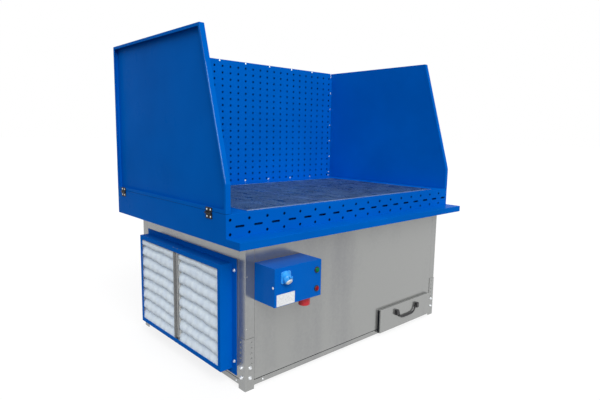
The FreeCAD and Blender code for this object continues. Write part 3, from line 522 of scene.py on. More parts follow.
def make_finishes():
    """Finishes under the names of the record's slots, and a few more for single pieces."""
    chosen = colours()
    made = {
        "blue_paint": powder_coat("blue powder coat", chosen.paint, 0.30, 0.005),
        # Glossier copy of the blue paint, used only on the bend tubes as a painted highlight
        "blue_highlight_coat": powder_coat("glossier blue coat for a bend highlight", chosen.paint, 0.24, 1.0),
        "blue_gloss": powder_coat("glossy blue coat of the box", chosen.paint, 0.22, 0.04),
        "galvanised": zinc_sheet("galvanised sheet", chosen.zinc, 0.20),
        # The blue tint of the grate steel is a painted reflection of the blue wall
        "grate_steel": bar_steel("grate steel with painted blue reflection", (0.50, 0.66, 0.81), 0.28),
        "plated_steel": bright_plate("zinc plate", (0.74, 0.76, 0.80), 0.36),
        # Bright bluish metal for the wall rivets: a painted highlight and blue reflection
        "rivet_highlight": bright_plate("rivet with painted bluish highlight", (0.80, 0.93, 1.0), 0.30),
        # Paler, rougher front bar of the grates: a painted highlight, tinted with a painted blue reflection
        "grate_edge": bright_plate("grate front bar with painted highlight", (0.48, 0.62, 0.82), 0.36),
        # Near-black for strips that stand in for the shade in gaps: painted shade
        "shade_black": moulded("black for painted shade", (0.004, 0.006, 0.012), 0.70, 0.01),
        "impeller_aluminium": bar_steel("cast aluminium", (0.55, 0.56, 0.57), 0.36),
        "hinge_black": moulded("black enamel", (0.010, 0.010, 0.012), 0.40, 0.12),
        "black_plastic": moulded("black plastic", (0.014, 0.014, 0.016), 0.38),
        "button_green": moulded("green plastic", chosen.start, 0.25, 0.08),
        "button_red": moulded("red plastic", chosen.stop, 0.25, 0.08),
        "socket_blue": moulded("light blue plastic", chosen.socket, 0.32),
        "lid_white": moulded("white plastic", (0.80, 0.81, 0.83), 0.35),
        "inlet_red": moulded("red moulding", chosen.inlet, 0.32),
        "starter_grey": moulded("grey plastic", (0.20, 0.21, 0.22), 0.42),
        "filter_media": fibre_fleece("filter fleece", chosen.media, 0.95),
        "filter_card": pressed_card("pressed card", (0.62, 0.62, 0.60), 0.9),
        "motor_grey": hammered("grey hammer paint", (0.15, 0.17, 0.18), 0.4),
    }
    return {slot: finish.material for slot, finish in made.items()}


class DOWNDRAFT_OT_finishes(bpy.types.Operator):
    """Makes the finishes, gives each solid its own and rounds the folded edges of the sheets"""

    bl_idname = "downdraft.finishes"
    bl_label = "Finishes"

    def execute(self, context):
        finishes.update(make_finishes())
        for row in frame["record"]["subparts"]:
            finish = "blue_gloss" if row["node"] == "control_box_cover" else row["material_slot"]
            for slot in frame["nodes"][row["node"]].material_slots:
                slot.material = finishes[finish]
        folded = [
            "table_frame", "left_panel", "right_panel", "wall_back_sheet", "filter_frame",
            "control_box_cover", "drawer_front", "front_panel", "rear_panel", "right_side_panel",
            "left_side_panel", "handle_feet", "post_front_left", "post_front_right", "post_rear_left",
            "post_rear_right",
        ]
        for name in folded:
            node = frame["nodes"][name]
            weld = node.modifiers.new("joined corners", "WELD")
            weld.merge_threshold = 1e-5
            add_bevel(node, sizes().edge_radius)
        return {"FINISHED"}


# Fascia
class DOWNDRAFT_OT_fascia(bpy.types.Operator):
    """Thin front skin of the fascia with round holes and slots over the plain cut-outs, and a liner behind"""

    bl_idname = "downdraft.fascia"
    bl_label = "Fascia"

    pitch: a_length("Pitch", "Distance between hole pairs", 0.099)
    count: a_count("Pairs", "Number of hole pairs", 17)
    top_row: a_length("Top row", "Drop of the top row", 0.025)
    row_gap: a_length("Row gap", "Distance between rows", 0.062)
    height: a_length("Height", "Height of the fascia above the shelf", 0.102)

    def cells(self, x, half, low, high, level, *hole):
        """Row of cells about the places x, each with a hole at the given level."""
        return punched(stacked(x - half, low), stacked(x + half, high), stacked(x, level), *hole)

    def skin(self, low, high):
        """Two rows of cells with round holes, and between them a row of taller cells with slots."""
        size = sizes()
        half_cell = 0.020
        half_pitch = self.pitch / 2
        top = table_high.z - self.top_row
        bottom = top - self.row_gap
        middle = (top + bottom) / 2
        span = (self.count - 0.5) * self.pitch + size.slot_length / 2
        x = np.arange(self.count) * self.pitch - span / 2
        round_hole = (0.0, size.hole_radius, 4)
        slot = ((size.slot_length - size.slot_height) / 2, size.slot_height / 2, 8)
        points, faces = together([
            self.cells(x, half_cell, low, middle, bottom, *round_hole),
            self.cells(x, half_cell, middle, high, top, *round_hole),
            self.cells(x + half_pitch, half_pitch - half_cell, low, high, middle, *slot),
        ])
        proud = 0.0004
        return stacked(points[:, 0], cabinet_front - proud, points[:, 1]), faces

    def liner(self, low, high):
        """Two strips behind the fascia that shut its holes off, below and above the ledge of the grates."""
        end_room = 0.012
        setback = 0.026
        sheet = 0.0015
        ledge_sheet = 0.003
        end = table_high.x - end_room
        front = cabinet_front + setback
        back = front + sheet
        ledge_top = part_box("grate_ledge_front")[1].z
        lows = [(-end, front, low), (-end, front, ledge_top)]
        highs = [(end, back, ledge_top - ledge_sheet), (end, back, high)]
        return blocks(lows, highs)

    def execute(self, context):
        edge = 0.001
        rim = 0.006
        foil = 0.0003
        low = table_high.z - self.height + edge
        high = table_high.z - edge
        skin = self.skin(low, high)
        add_piece("fascia_skin", skin, "blue_paint", "cabinet", outward=to_front, thickness=foil, smooth=0)
        add_piece("fascia_liner", self.liner(low, high - rim), "blue_paint", "cabinet")
        return {"FINISHED"}


# Side panels
class DOWNDRAFT_OT_panel_edges(bpy.types.Operator):
    """Soft outer bend along the sloping front edge of each side panel, in a glossier copy of the paint that stands
    in for the bend's highlight
    """

    bl_idname = "downdraft.panel_edges"
    bl_label = "Panel edges"

    radius: a_length("Radius", "Radius of the bend", 0.0028)
    knee: a_length("Knee", "Height of the upright part", 0.125)
    setback: a_length("Setback", "Depth of the sloping part", 0.195)

    def bend(self, x, low, high):
        """Tube half sunk in the corner along the slope; it thins towards its ends, under the sheet, so that its
        highlight fades there.
        """
        share = np.linspace(0, 1, 41)
        y = low.y + self.radius / 2 + share * self.setback
        z = low.z + self.knee + share * (high.z - low.z - self.knee - self.radius)
        radius = self.radius * np.interp(share, [0, 0.04, 0.6, 1], [0.5, 1, 0.85, 0.5])
        return swept(stacked(x, y, z), to_right, radius)

    def execute(self, context):
        sunk = self.radius / 2
        for name in ("left_panel", "right_panel"):
            low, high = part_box(name)
            x = low.x + sunk if name == "left_panel" else high.x - sunk
            # The bend takes the glossier copy of the paint, standing in for the highlight along the fold
            add_piece(name + "_highlight_bend", self.bend(x, low, high), "blue_paint", name, finish="blue_highlight_coat")
        return {"FINISHED"}


# Legs
class DOWNDRAFT_OT_legs(bpy.types.Operator):
    """Angle legs with a rounded fold and a row of height holes in each flange"""

    bl_idname = "downdraft.legs"
    bl_label = "Legs"

    hole_inset: a_length("Hole inset", "From corner to holes", 0.034)
    hole_pitch: a_length("Hole pitch", "Between the holes", 0.025)
    first_hole: a_length("First hole", "Height of the lowest", 0.125)
    hole_count: a_count("Holes", "Holes in each flange", 5)
    fold: a_length("Fold", "Part of each flange that is bent", 0.004)

    def flat_leg(self, width, height):
        """Unfolded leg: across is negative on one flange and positive on the other."""
        half = self.hole_pitch / 2
        z = self.first_hole + self.hole_pitch * np.arange(self.hole_count)
        bottom = z[0] - half
        top = z[-1] + half
        near = 2 * self.hole_inset - width
        parts = []
        for side in (-1, 1):
            start, end = sorted((side * near, side * width))
            hole = stacked(side * self.hole_inset, z)
            low = stacked(start, z - half)
            high = stacked(end, z + half)
            parts.append(punched(low, high, hole, 0.0, sizes().leg_hole_radius, 4))
            across = np.linspace(start, end, 5)
            parts.append(flat_grid(across, [0.0, bottom]))
            parts.append(flat_grid(across, [top, height]))
        upward = np.concatenate([[0.0], np.linspace(bottom, top, 4 * self.hole_count + 1), [height]])
        across = np.concatenate([[-near], np.linspace(-self.fold, self.fold, 9), [near]])
        parts.append(flat_grid(across, upward))
        return together(parts)

    def folded(self, across):
        """Distances from the two outer faces after the fold: a quarter circle, then straight flanges."""
        turn = np.clip(across / self.fold, -1, 1) * np.pi / 4 + np.pi / 4
        rest = np.clip(np.abs(across) - self.fold, 0, None)
        x = self.fold * (1 - np.sin(turn)) + np.where(across < 0, rest, 0)
        y = self.fold * (1 - np.cos(turn)) + np.where(across > 0, rest, 0)
        return x, y

    def add_leg(self, node, at_left, at_front):
        low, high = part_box(node)
        flat, faces = self.flat_leg(high.x - low.x, high.z - low.z)
        x, y = self.folded(flat[:, 0])
        x = low.x + x if at_left else high.x - x
        y = low.y + y if at_front else high.y - y
        outward = (-1 if at_left else 1, -1 if at_front else 1, 0)
        shape = (stacked(x, y, low.z + flat[:, 1]), faces)
        sheet = 0.003
        add_piece("punched_" + node, shape, "galvanised", "cabinet", [node], outward, sheet, smooth=0)

    def execute(self, context):
        for depth in ("front", "rear"):
            for side in ("left", "right"):
                self.add_leg("leg_%s_%s" % (depth, side), side == "left", depth == "front")
        return {"FINISHED"}


# Grates
class DOWNDRAFT_OT_grates(bpy.types.Operator):
    """Three lift-out grates: a flat-bar frame, bright in front as a painted highlight, with bearing bars and cross
    bars inside; their steel is tinted with a painted blue reflection
    """

    bl_idname = "downdraft.grates"
    bl_label = "Grates"

    bar: a_length("Bar", "Thickness of the bars", 0.0025)
    cross_pitch: a_length("Cross pitch", "Between the cross bars", 0.034)
    rim: a_length("Rim", "Thickness of the frame", 0.005)
    cross_height: a_length("Cross bar", "Height of a cross bar", 0.012)

    def front_bar(self, low, high):
        return blocks([low], [(high[0], low[1] + self.rim, high[2])])

    def frame_bars(self, low, high):
        """Rear, left and right bar of the frame."""
        front = low[1] + self.rim
        back = high[1] - self.rim
        lows = [(low[0], back, low[2]), (low[0], front, low[2]), (high[0] - self.rim, front, low[2])]
        highs = [high, (low[0] + self.rim, back, high[2]), (high[0], back, high[2])]
        return blocks(lows, highs)

    def infill(self, low, high):
        """Bearing bars from front to rear, and shallower cross bars a little below their tops."""
        left, front = low[0] + self.rim, low[1] + self.rim
        right, back = high[0] - self.rim, high[1] - self.rim
        drop = 0.0005
        half = self.bar / 2
        count_x = round((high[0] - low[0]) / sizes().grate_pitch)
        count_y = round((high[1] - low[1]) / self.cross_pitch)
        x = np.linspace(left, right, count_x + 1)[1:-1]
        y = np.linspace(front, back, count_y + 1)[1:-1]
        top = high[2] - 2 * drop
        bearing = blocks(stacked(x - half, front, low[2]), stacked(x + half, back, high[2] - drop))
        cross = blocks(stacked(left, y - half, top - self.cross_height), stacked(right, y + half, top))
        return together([bearing, cross])

    def execute(self, context):
        for number, place in enumerate(("left", "middle", "right"), 1):
            node = "grate_%d" % number
            low, high = (tuple(corner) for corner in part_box(node))
            body = "grate_" + place
            bars = together([self.infill(low, high), self.frame_bars(low, high)])
            edge = self.front_bar(low, high)
            # The grating's steel carries a painted blue reflection
            add_piece("grating_%d" % number, bars, "grate_steel", body, [node])
            name = "grate_front_bar_%d" % number
            # The front bar's paler finish is a painted highlight
            add_piece(name, edge, "plated_steel", body, bevel=0.0006, finish="grate_edge")
        return {"FINISHED"}


# Filters
class DOWNDRAFT_OT_filters(bpy.types.Operator):
    """Pleated fleece of the two filter cells, and the channel between them with its gaskets"""

    bl_idname = "downdraft.filters"
    bl_label = "Filter cells"

    def waves(self, along, draw):
        """Rise of each edge between pleats along its length, and the phases of its waves: a droop plus two
        waves, while the outer edges stay straight."""
        edges = sizes().pleat_count + 1
        phase = draw.uniform(0, 2 * np.pi, (edges, 2))
        reach = draw.uniform(0.6, 1.2, (edges, 2))
        rise = np.tile(sizes().pleat_droop * (along - 0.5), (edges, 1))
        for index, cycles in enumerate((1.0, 2.3)):
            angle = 2 * np.pi * cycles * along[None] + phase[:, index, None]
            rise += sizes().pleat_wave * reach[:, index, None] * np.sin(angle) / (index + 1)
        rise[[0, -1]] = 0
        return rise, phase

    def pleats(self, low, high, seed):
        """Sagging pleats: depth goes with a power of a sine of the height's share to a power, so that the
        crest hangs low, and the height is shifted by a droop to the front and by slow waves along the pleat
        that differ from one pleat to the next. Small ripples run across the crests."""
        count = sizes().pleat_count
        per_pleat = 22
        sag = 0.6
        roundness = 0.7
        ripples = 7
        ripple_height = 0.0009
        along = np.linspace(0, 1, 64)
        rise, phase = self.waves(along, np.random.default_rng(seed))
        share = np.linspace(0, count, count * per_pleat + 1)
        whole = np.clip(share.astype(int), 0, count - 1)
        part = (share - whole)[:, None]
        shift = rise[whole] * (1 - part) + rise[whole + 1] * part
        height = low.z + share[:, None] * (high.z - low.z) / count + shift
        swell = np.abs(np.sin(np.pi * part ** sag)) ** roundness
        ripple = ripple_height * np.sin(2 * np.pi * ripples * along[None] + 3 * phase[whole, :1])
        front = low.x + sizes().pleat_depth * (1 - swell) + ripple * swell
        return surface(stacked(front, low.y + along * (high.y - low.y), height))

    def channel(self):
        """Shallow channel, open to the outside."""
        low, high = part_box("filter_centre_bar")
        sheet = 0.0015
        hollow = 0.006
        depth = high.x - low.x
        width = high.y - low.y
        outline = np.array([
            (0, 0), (depth, 0), (depth, width), (0, width),
            (0, width - sheet), (hollow, width - sheet), (hollow, sheet), (0, sheet),
        ])
        return prism(outline, low, to_right, to_rear, (0, 0, high.z - low.z))

    def gaskets(self):
        """Flat strip on each side of the channel, in front of the edge of the cell."""
        low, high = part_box("filter_centre_bar")
        frame_low, frame_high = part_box("filter_frame")
        lip = 0.007
        fold = 0.0015
        inset = 0.0222
        proud = 0.0014
        room = 0.0002
        bottom = frame_low.z + inset
        top = frame_high.z - inset
        front = low.x - proud
        back = low.x - room
        lows = [(front, low.y - lip, bottom), (front, high.y - fold, bottom)]
        highs = [(back, low.y + fold, top), (back, high.y + lip, top)]
        return blocks(lows, highs)

    def execute(self, context):
        channel = self.channel()
        sheet = 0.002
        add_piece("filter_channel", channel, "galvanised", "cabinet", ["filter_centre_bar"], bevel=0.0004)
        add_piece("cell_gaskets", self.gaskets(), "starter_grey", "cabinet", bevel=0.0003)
        for seed, place in ((3, "front"), (4, "rear")):
            node = "filter_media_" + place
            fleece = self.pleats(*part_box(node), seed)
            name = "pleated_fleece_" + place
            add_piece(name, fleece, "filter_media", "cabinet", [node], to_left, sheet, smooth=80)
        return {"FINISHED"}


# Hinges
class DOWNDRAFT_OT_hinges(bpy.types.Operator):
    """Black hinges of the side panels with round knuckles, their pins and bright screws"""

    bl_idname = "downdraft.hinges"
    bl_label = "Hinges"

    length: a_length("Length", "Length of a hinge", 0.050)
    leaf: a_length("Leaf", "Reach of a leaf", 0.025)
    plate: a_length("Plate", "Thickness of a leaf", 0.003)
    barrel: a_length("Barrel", "Radius of a knuckle", 0.0043)
    gap: a_length("Gap", "Room between leaves", 0.0005)

    def places(self, side):
        """Axis point at the front end of each hinge on one side."""
        low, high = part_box("hinge_pins")
        joint = next(row for row in frame["joints"] if row["name"] == "right_panel_hinge")
        x, _, z = joint["pos_m"]
        return [(side * x, low.y, z), (side * x, high.y - self.length, z)]

    def leaf_shape(self, place, side, upward, face):
        """Rounded plate with a knuckle over half the hinge, joined by a short arm."""
        x, y, z = place
        reach = self.barrel + self.gap
        height = self.leaf - reach
        middle = (face, y + self.length / 2, z + upward * (reach + height / 2))
        corner = 0.003
        outline = rounded_outline(self.length, height, corner)
        plate = prism(outline, middle, to_rear, to_top, (side * self.plate, 0, 0))
        knuckle = self.length / 2 - self.gap
        start = y if upward < 0 else y + self.length / 2 + self.gap
        bore = 0.00255
        edge = 0.0004
        profile = [
            (bore, 0), (self.barrel - edge, 0), (self.barrel, edge), (self.barrel, knuckle - edge),
            (self.barrel - edge, knuckle), (bore, knuckle), (bore, 0),
        ]
        barrel = turned(profile, (x, start, z), to_rear, 24)
        inside = 0.7 * self.barrel
        overlap = 0.001
        arm_x = sorted((face, face + side * self.plate))
        arm_z = sorted((z + upward * inside, z + upward * (reach + overlap)))
        arm = blocks([(arm_x[0], start, arm_z[0])], [(arm_x[1], start + knuckle, arm_z[1])])
        return together([plate, barrel, arm])

    def screws(self, place, side, upward, face):
        """Two countersunk heads on a leaf."""
        _, y, z = place
        head = [(0, 0.0011), (0.0022, 0.0010), (0.0036, 0.0005), (0.0041, 0), (0.0041, -0.001)]
        screw = turned(head, (0, 0, 0), (side, 0, 0), 16)
        from_axis = 0.0155
        outside = face + side * self.plate
        level = z + upward * from_axis
        return copies(screw, [(outside, y + self.length * share, level) for share in (0.22, 0.78)])

    def pin(self, place):
        """Pin with a chamfer at both ends."""
        near = [(0, 0), (0.0018, 0), (0.0024, 0.0006)]
        far = [(radius, self.length - height) for radius, height in reversed(near)]
        return turned(near + far, place, to_rear, 20)

    def execute(self, context):
        fixed = []
        fixed_screws = []
        pins = []
        room = 0.0004
        for side, name in ((-1, "left"), (1, "right")):
            fixed_face = side * table_high.x
            moving_face = side * (table_high.x + room)
            places = self.places(side)
            moving = together([self.leaf_shape(place, side, 1, moving_face) for place in places])
            moving_screws = together([self.screws(place, side, 1, moving_face) for place in places])
            fixed += [self.leaf_shape(place, side, -1, fixed_face) for place in places]
            fixed_screws += [self.screws(place, side, -1, fixed_face) for place in places]
            pins += [self.pin(place) for place in places]
            panel = name + "_panel"
            add_piece(name + "_upper_leaves", moving, "hinge_black", panel, [name + "_hinge_moving_leaves"])
            add_piece(name + "_upper_screws", moving_screws, "plated_steel", panel)
        add_piece("lower_leaves", together(fixed), "hinge_black", "cabinet", ["hinge_fixed_leaves"])
        add_piece("lower_screws", together(fixed_screws), "plated_steel", "cabinet")
        add_piece("round_hinge_pins", together(pins), "hinge_black", "cabinet", ["hinge_pins"])
        return {"FINISHED"}


# Fasteners
def rivet_head(axis, share=1.0):
    """Low dome on the origin."""
    radius = share * sizes().rivet_radius
    profile = [
        (0, 0.0019), (0.45 * radius, 0.0017), (0.8 * radius, 0.0011), (radius, 0.0002), (radius, -0.0004),
    ]
    return turned(profile, (0, 0, 0), axis, 14)


def bolt_head(axis):
    """Washer with a chamfered hexagon head on it."""
    radius = sizes().bolt_radius
    rim = 1.3 * radius
    washer = [(0, 0.0016), (1.22 * radius, 0.0016), (rim, 0.0011), (rim, -0.0002), (0, -0.0002)]
    head = [(0, 0.0075), (0.8 * radius, 0.0073), (radius, 0.0062), (radius, 0.0014), (0, 0.0014)]
    return together([turned(washer, (0, 0, 0), axis, 20), turned(head, (0, 0, 0), axis, 6)])


def heads_on(head, sides):
    """Heads on several sides, each given as its outward axis and the places on it."""
    return together([copies(head(axis), places) for axis, places in sides])


def on_four_sides(head, low, high, inset, levels):
    """Heads on the upright sides of a box, at an inset from its upright edges and at each level."""
    x_places = (low[0] + inset, high[0] - inset)
    y_places = (low[1] + inset, high[1] - inset)
    return heads_on(head, [
        (to_front, [(x, low[1], z) for z in levels for x in x_places]),
        (to_rear, [(x, high[1], z) for z in levels for x in x_places]),
        (to_left, [(low[0], y, z) for z in levels for y in y_places]),
        (to_right, [(high[0], y, z) for z in levels for y in y_places]),
    ])


def round_the_edge(across, levels):
    """Places round a panel's edge: whole rows at the lowest and highest level, and only ends in between."""
    rows = [(place, level) for level in (levels[0], levels[-1]) for place in across]
    return rows + [(place, level) for level in levels[1:-1] for place in (across[0], across[-1])]


class DOWNDRAFT_OT_fasteners(bpy.types.Operator):
    """Bolts, screws and rivets on the legs, filter frame, posts, base, panels and wall, and dark strips of painted
    shade in the gaps
    """

    bl_idname = "downdraft.fasteners"
    bl_label = "Fasteners"

    def leg_bolts(self):
        """Two bolts in each flange of each leg."""
        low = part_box("leg_front_left")[0]
        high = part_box("leg_rear_right")[1]
        inset = 0.027
        levels = (0.059, 0.107)
        return on_four_sides(bolt_head, low, high, inset, levels)

    def filter_bolts(self):
        """A bolt near each corner of the filter frame's flange."""
        low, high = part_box("filter_frame")
        sheet = 0.002
        inset = 0.017
        rise = 0.066
        drop = 0.054
        along = (low.y + inset, high.y - inset)
        levels = (low.z + rise, high.z - drop)
        return copies(bolt_head(to_left), [(high.x - sheet, y, z) for y in along for z in levels])

    def post_rivets(self):
        """Three small rivets on each face of each post."""
        small = partial(rivet_head, share=0.75)
        low = (cabinet_left, cabinet_front)
        high = (cabinet_right, cabinet_rear)
        inset = 0.010
        levels = (0.290, 0.531, 0.660)
        return on_four_sides(small, low, high, inset, levels)

    def base_rivets(self):
        """One rivet at the left end of the front, and a row along each other side of the base."""
        low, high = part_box("base_pan")
        z = 0.026
        pitch = 0.216
        steps = pitch * np.arange(-3, 4)
        along = (low.y + high.y) / 2 + steps[1:-1]
        return heads_on(rivet_head, [
            (to_front, [(steps[0], low.y, z)]),
            (to_rear, [(x, high.y, z) for x in steps]),
            (to_right, [(high.x, y, z) for y in along]),
            (to_left, [(low.x, y, z) for y in along]),
        ])

    def panel_screws(self):
        """Screws round the edge of the rear panel and of the right side panel, which come off for service."""
        inset = 0.014
        bottom = 0.060
        low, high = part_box("rear_panel")
        levels = np.linspace(bottom, high.z - inset, 5)
        across = np.linspace(low.x + inset, high.x - inset, 8)
        rear = [(x, high.y, z) for x, z in round_the_edge(across, levels)]
        low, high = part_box("right_side_panel")
        along = np.linspace(low.y + inset, high.y - inset, 6)
        right = [(high.x, y, z) for y, z in round_the_edge(along, levels)]
        return heads_on(rivet_head, [(to_rear, rear), (to_right, right)])

    def wall_rivets(self):
        """Rows of rivets along the four edges of the wall's face, with smaller ones at the top, in a bright bluish
        finish that paints in their highlight.
        """
        edge = 0.0084
        front = wall_low.y
        pitch_x, pitch_z = 0.203, 0.1222
        highest = 1.5875
        across = pitch_x * np.arange(-4, 5)
        levels = highest - pitch_z * np.arange(7)
        end = wall_low.x + edge
        top = [(x, front, wall_high.z - edge) for x in across]
        rest = [(x, front, wall_low.z + edge) for x in across]
        rest += [(x, front, z) for x in (end, -end) for z in levels]
        return together([copies(rivet_head(to_front, 1.3), top), copies(rivet_head(to_front, 1.8), rest)])

    def box_screws(self):
        """A screw on each end of the control box, near its front edge."""
        inset = 0.012
        y = box_low.y + inset
        z = 0.505
        sides = [(to_left, [(box_low.x, y, z)]), (to_right, [(box_high.x, y, z)])]
        return heads_on(partial(rivet_head, share=1.3), sides)

    def panel_gap_strips(self):
        """Thin dark strip in the joint on the tray's rim under the outer edge of each side panel, standing for the
        shade in the gap there.
        """
        low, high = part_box("left_panel")
        deep = 0.010
        room = 0.0002
        bottom = table_high.z
        top = low.z - room
        edge = table_high.x - room
        lows = [(-edge, low.y, bottom), (edge - deep, low.y, bottom)]
        highs = [(deep - edge, high.y, top), (edge, high.y, top)]
        return blocks(lows, highs)

    def base_gap_strips(self):
        """Thin dark strip between the cabinet's sheets and the base, on all four sides, as painted shade of the
        gap there.
        """
        gap = 0.0022
        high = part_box("front_panel")[0].z
        low = high - gap
        reach = 0.050
        proud = 0.0003
        sheet = 0.002
        left, right = cabinet_left - proud, cabinet_right + proud
        front, rear = cabinet_front - proud, cabinet_rear + proud
        start_x, end_x = cabinet_left + reach, cabinet_right - reach
        start_y, end_y = cabinet_front + reach, cabinet_rear - reach
        drawer_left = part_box("drawer_front")[0].x
        lows = [
            (start_x, front, low), (start_x, rear - sheet, low),
            (left, start_y, low), (right - sheet, start_y, low),
        ]
        highs = [
            (drawer_left, front + sheet, high), (end_x, rear, high),
            (left + sheet, end_y, high), (right, end_y, high),
        ]
        return blocks(lows, highs)

    def execute(self, context):
        # Dark strips in the joints that stand in for the shade in the gaps: painted shade
        gap_strips = together([self.panel_gap_strips(), self.base_gap_strips()])
        add_piece("painted_gap_shade", gap_strips, "hinge_black", "cabinet", finish="shade_black")
        add_piece("leg_bolts", self.leg_bolts(), "plated_steel", "cabinet")
        add_piece("filter_bolts", self.filter_bolts(), "plated_steel", "cabinet")
        add_piece("post_rivets", self.post_rivets(), "galvanised", "cabinet")
        add_piece("base_rivets", self.base_rivets(), "plated_steel", "cabinet")
        add_piece("panel_screws", self.panel_screws(), "plated_steel", "cabinet")
        # The wall rivets' bright bluish finish is a painted highlight
        add_piece("wall_rivets", self.wall_rivets(), "plated_steel", "cabinet", finish="rivet_highlight")
        add_piece("box_screws", self.box_screws(), "plated_steel", "cabinet")
        return {"FINISHED"}


# Control box, where profiles are pairs of a radius and a height along the axis
class DOWNDRAFT_OT_controls(bpy.types.Operator):
    """Push buttons with their bezels, the socket with its lid, the mains inlet and the bare plate"""

    bl_idname = "downdraft.controls"
    bl_label = "Control box"

    tilt: FloatProperty(
        name="Socket tilt", description="How far the socket leans down",
        subtype="ANGLE", default=math.radians(37),
    )
    flange: a_length("Flange", "Thickness of the flanges of socket and inlet", 0.004)
    barrel: a_length("Barrel", "Length of the socket's barrel", 0.020)

    def buttons(self):
        """Round caps in round bezels."""
        ring = [
            (0.0102, 0), (0.0102, 0.0050), (0.0108, 0.0056), (0.0126, 0.0054), (0.0140, 0.0040),
            (0.0145, 0.0022), (0.0145, 0), (0.0102, 0),
        ]
        bezels = []
        for name, slot in (("start_button", "button_green"), ("stop_button", "button_red")):
            low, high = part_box(name)
            centre = ((low.x + high.x) / 2, box_low.y, (low.z + high.z) / 2)
            reach = box_low.y - low.y
            deep = high.y - box_low.y
            cap = [
                (0, reach), (0.0060, reach - 0.0001), (0.0084, reach - 0.0005), (0.0096, reach - 0.0014),
                (0.0100, reach - 0.0026), (0.0100, -deep), (0, -deep),
            ]
            bezels.append(turned(ring, centre, to_front, 36))
            add_piece("round_" + name, turned(cap, centre, to_front, 36), slot, name, [name])
        add_piece("round_bezels", together(bezels), "black_plastic", "cabinet", ["button_bezels"])

    def socket_places(self):
        """Axis of the socket, the direction up its face, and the middle of its flange and of its open end."""
        axis = np.array([0, -math.cos(self.tilt), -math.sin(self.tilt)])
        upward = np.array([0, -math.sin(self.tilt), math.cos(self.tilt)])
        low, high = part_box("start_button")
        face = np.array([box_low.x + 0.060, box_low.y - self.flange, (low.z + high.z) / 2])
        return axis, upward, face, face + axis * self.barrel

    def socket_flange(self, face):
        """Square flange with a screw near each corner."""
        spread = 0.0215
        head = [(0, 0.0012), (0.0016, 0.0011), (0.0026, 0.0004), (0.0026, -0.0005)]
        corners = [face + spread * np.array([x, 0, z]) for x in (-1, 1) for z in (-1, 1)]
        screws = copies(turned(head, (0, 0, 0), to_front, 14), corners)
        side = 0.054
        corner = 0.009
        outline = rounded_outline(side, side, corner)
        return [prism(outline, face, to_right, to_top, (0, self.flange, 0)), screws]

    def lid_bearing(self):
        """Two ears above the open end of the socket, and the pin between them."""
        axis, upward, _, end = self.socket_places()
        ear = rounded_outline(0.009, 0.0115, 0.003)
        ear_middle = end + upward * 0.0225 - axis * 0.0004
        half, sheet = 0.0043, 0.003
        ears = [
            prism(ear, ear_middle + side * half * np.array(to_right), axis, upward, (side * sheet, 0, 0))
            for side in (-1, 1)
        ]
        pin_middle = end + upward * 0.024 + axis * 0.0025
        radius, reach = 0.0015, half + sheet
        pin = [(0, -reach), (radius, -reach), (radius, reach), (0, reach)]
        return ears + [turned(pin, pin_middle, to_right, 16)]

    def socket(self):
        """Flange, a hollow barrel with two beads that leans down, and the bearing of the lid."""
        axis, _, face, _ = self.socket_places()
        barrel = [
            (0, -0.020), (0.0205, -0.020), (0.0205, 0.0045), (0.0212, 0.0055), (0.0212, 0.0080),
            (0.0205, 0.0090), (0.0205, 0.0165), (0.0210, 0.0175), (0.0210, 0.0195), (0.0204, 0.0200),
            (0.0178, 0.0200), (0.0170, 0.0192), (0.0170, 0.0030), (0, 0.0030),
        ]
        parts = self.socket_flange(face) + [turned(barrel, face, axis, 40)] + self.lid_bearing()
        add_piece("round_socket", together(parts), "socket_blue", "cabinet", ["socket"], bevel=0.0005)

    def lid(self):
        """Round lid with a lug on the pin, and a white boss on it."""
        axis, upward, _, end = self.socket_places()
        disc = [
            (0, 0.0050), (0.0150, 0.0050), (0.0185, 0.0044), (0.0198, 0.0032), (0.0200, 0.0018),
            (0.0200, 0.0003), (0, 0.0003),
        ]
        half = 0.004
        lug = rounded_outline(0.0046, 0.0105, 0.0018)
        middle = end + upward * 0.0209 + axis * 0.00265 - half * np.array(to_right)
        parts = [turned(disc, end, axis, 40), prism(lug, middle, axis, upward, (2 * half, 0, 0))]
        add_piece("round_lid", together(parts), "socket_blue", "socket_lid", ["socket_lid"], bevel=0.0003)
        boss = [
            (0, 0.0100), (0.0090, 0.0098), (0.0130, 0.0088), (0.0150, 0.0072), (0.0155, 0.0056),
            (0.0155, 0.0045), (0, 0.0045),
        ]
        add_piece("lid_boss", turned(boss, end, axis, 40), "lid_white", "socket_lid")

    def inlet(self):
        """Flange with a ribbed collar that hangs down."""
        low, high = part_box("power_inlet")
        top = np.array([(low.x + high.x) / 2, (low.y + high.y) / 2, high.z])
        outline = rounded_outline(high.x - low.x, high.y - low.y, 0.010)
        flange = prism(outline, top, to_right, to_rear, (0, 0, -self.flange))
        radius = 0.0262
        collar = [
            (0.0180, 0.0040), (0.0270, 0.0040), (0.0266, 0.0060), (radius, 0.0330), (0.0270, 0.0345),
            (0.0270, 0.0445), (radius, 0.0460), (0.0248, 0.0460), (0.0240, 0.0452), (0.0240, 0.0045),
            (0.0180, 0.0045), (0.0180, 0.0040),
        ]
        rib = turned([(0, 0.006), (0.0014, 0.008), (0.0014, 0.032), (0, 0.034)], (0, 0, 0), to_floor, 8)
        ribs = copies(rib, ring_places(12, radius) + top)
        shape = together([flange, turned(collar, top, to_floor, 48), ribs])
        add_piece("round_inlet", shape, "inlet_red", "cabinet", ["power_inlet"])

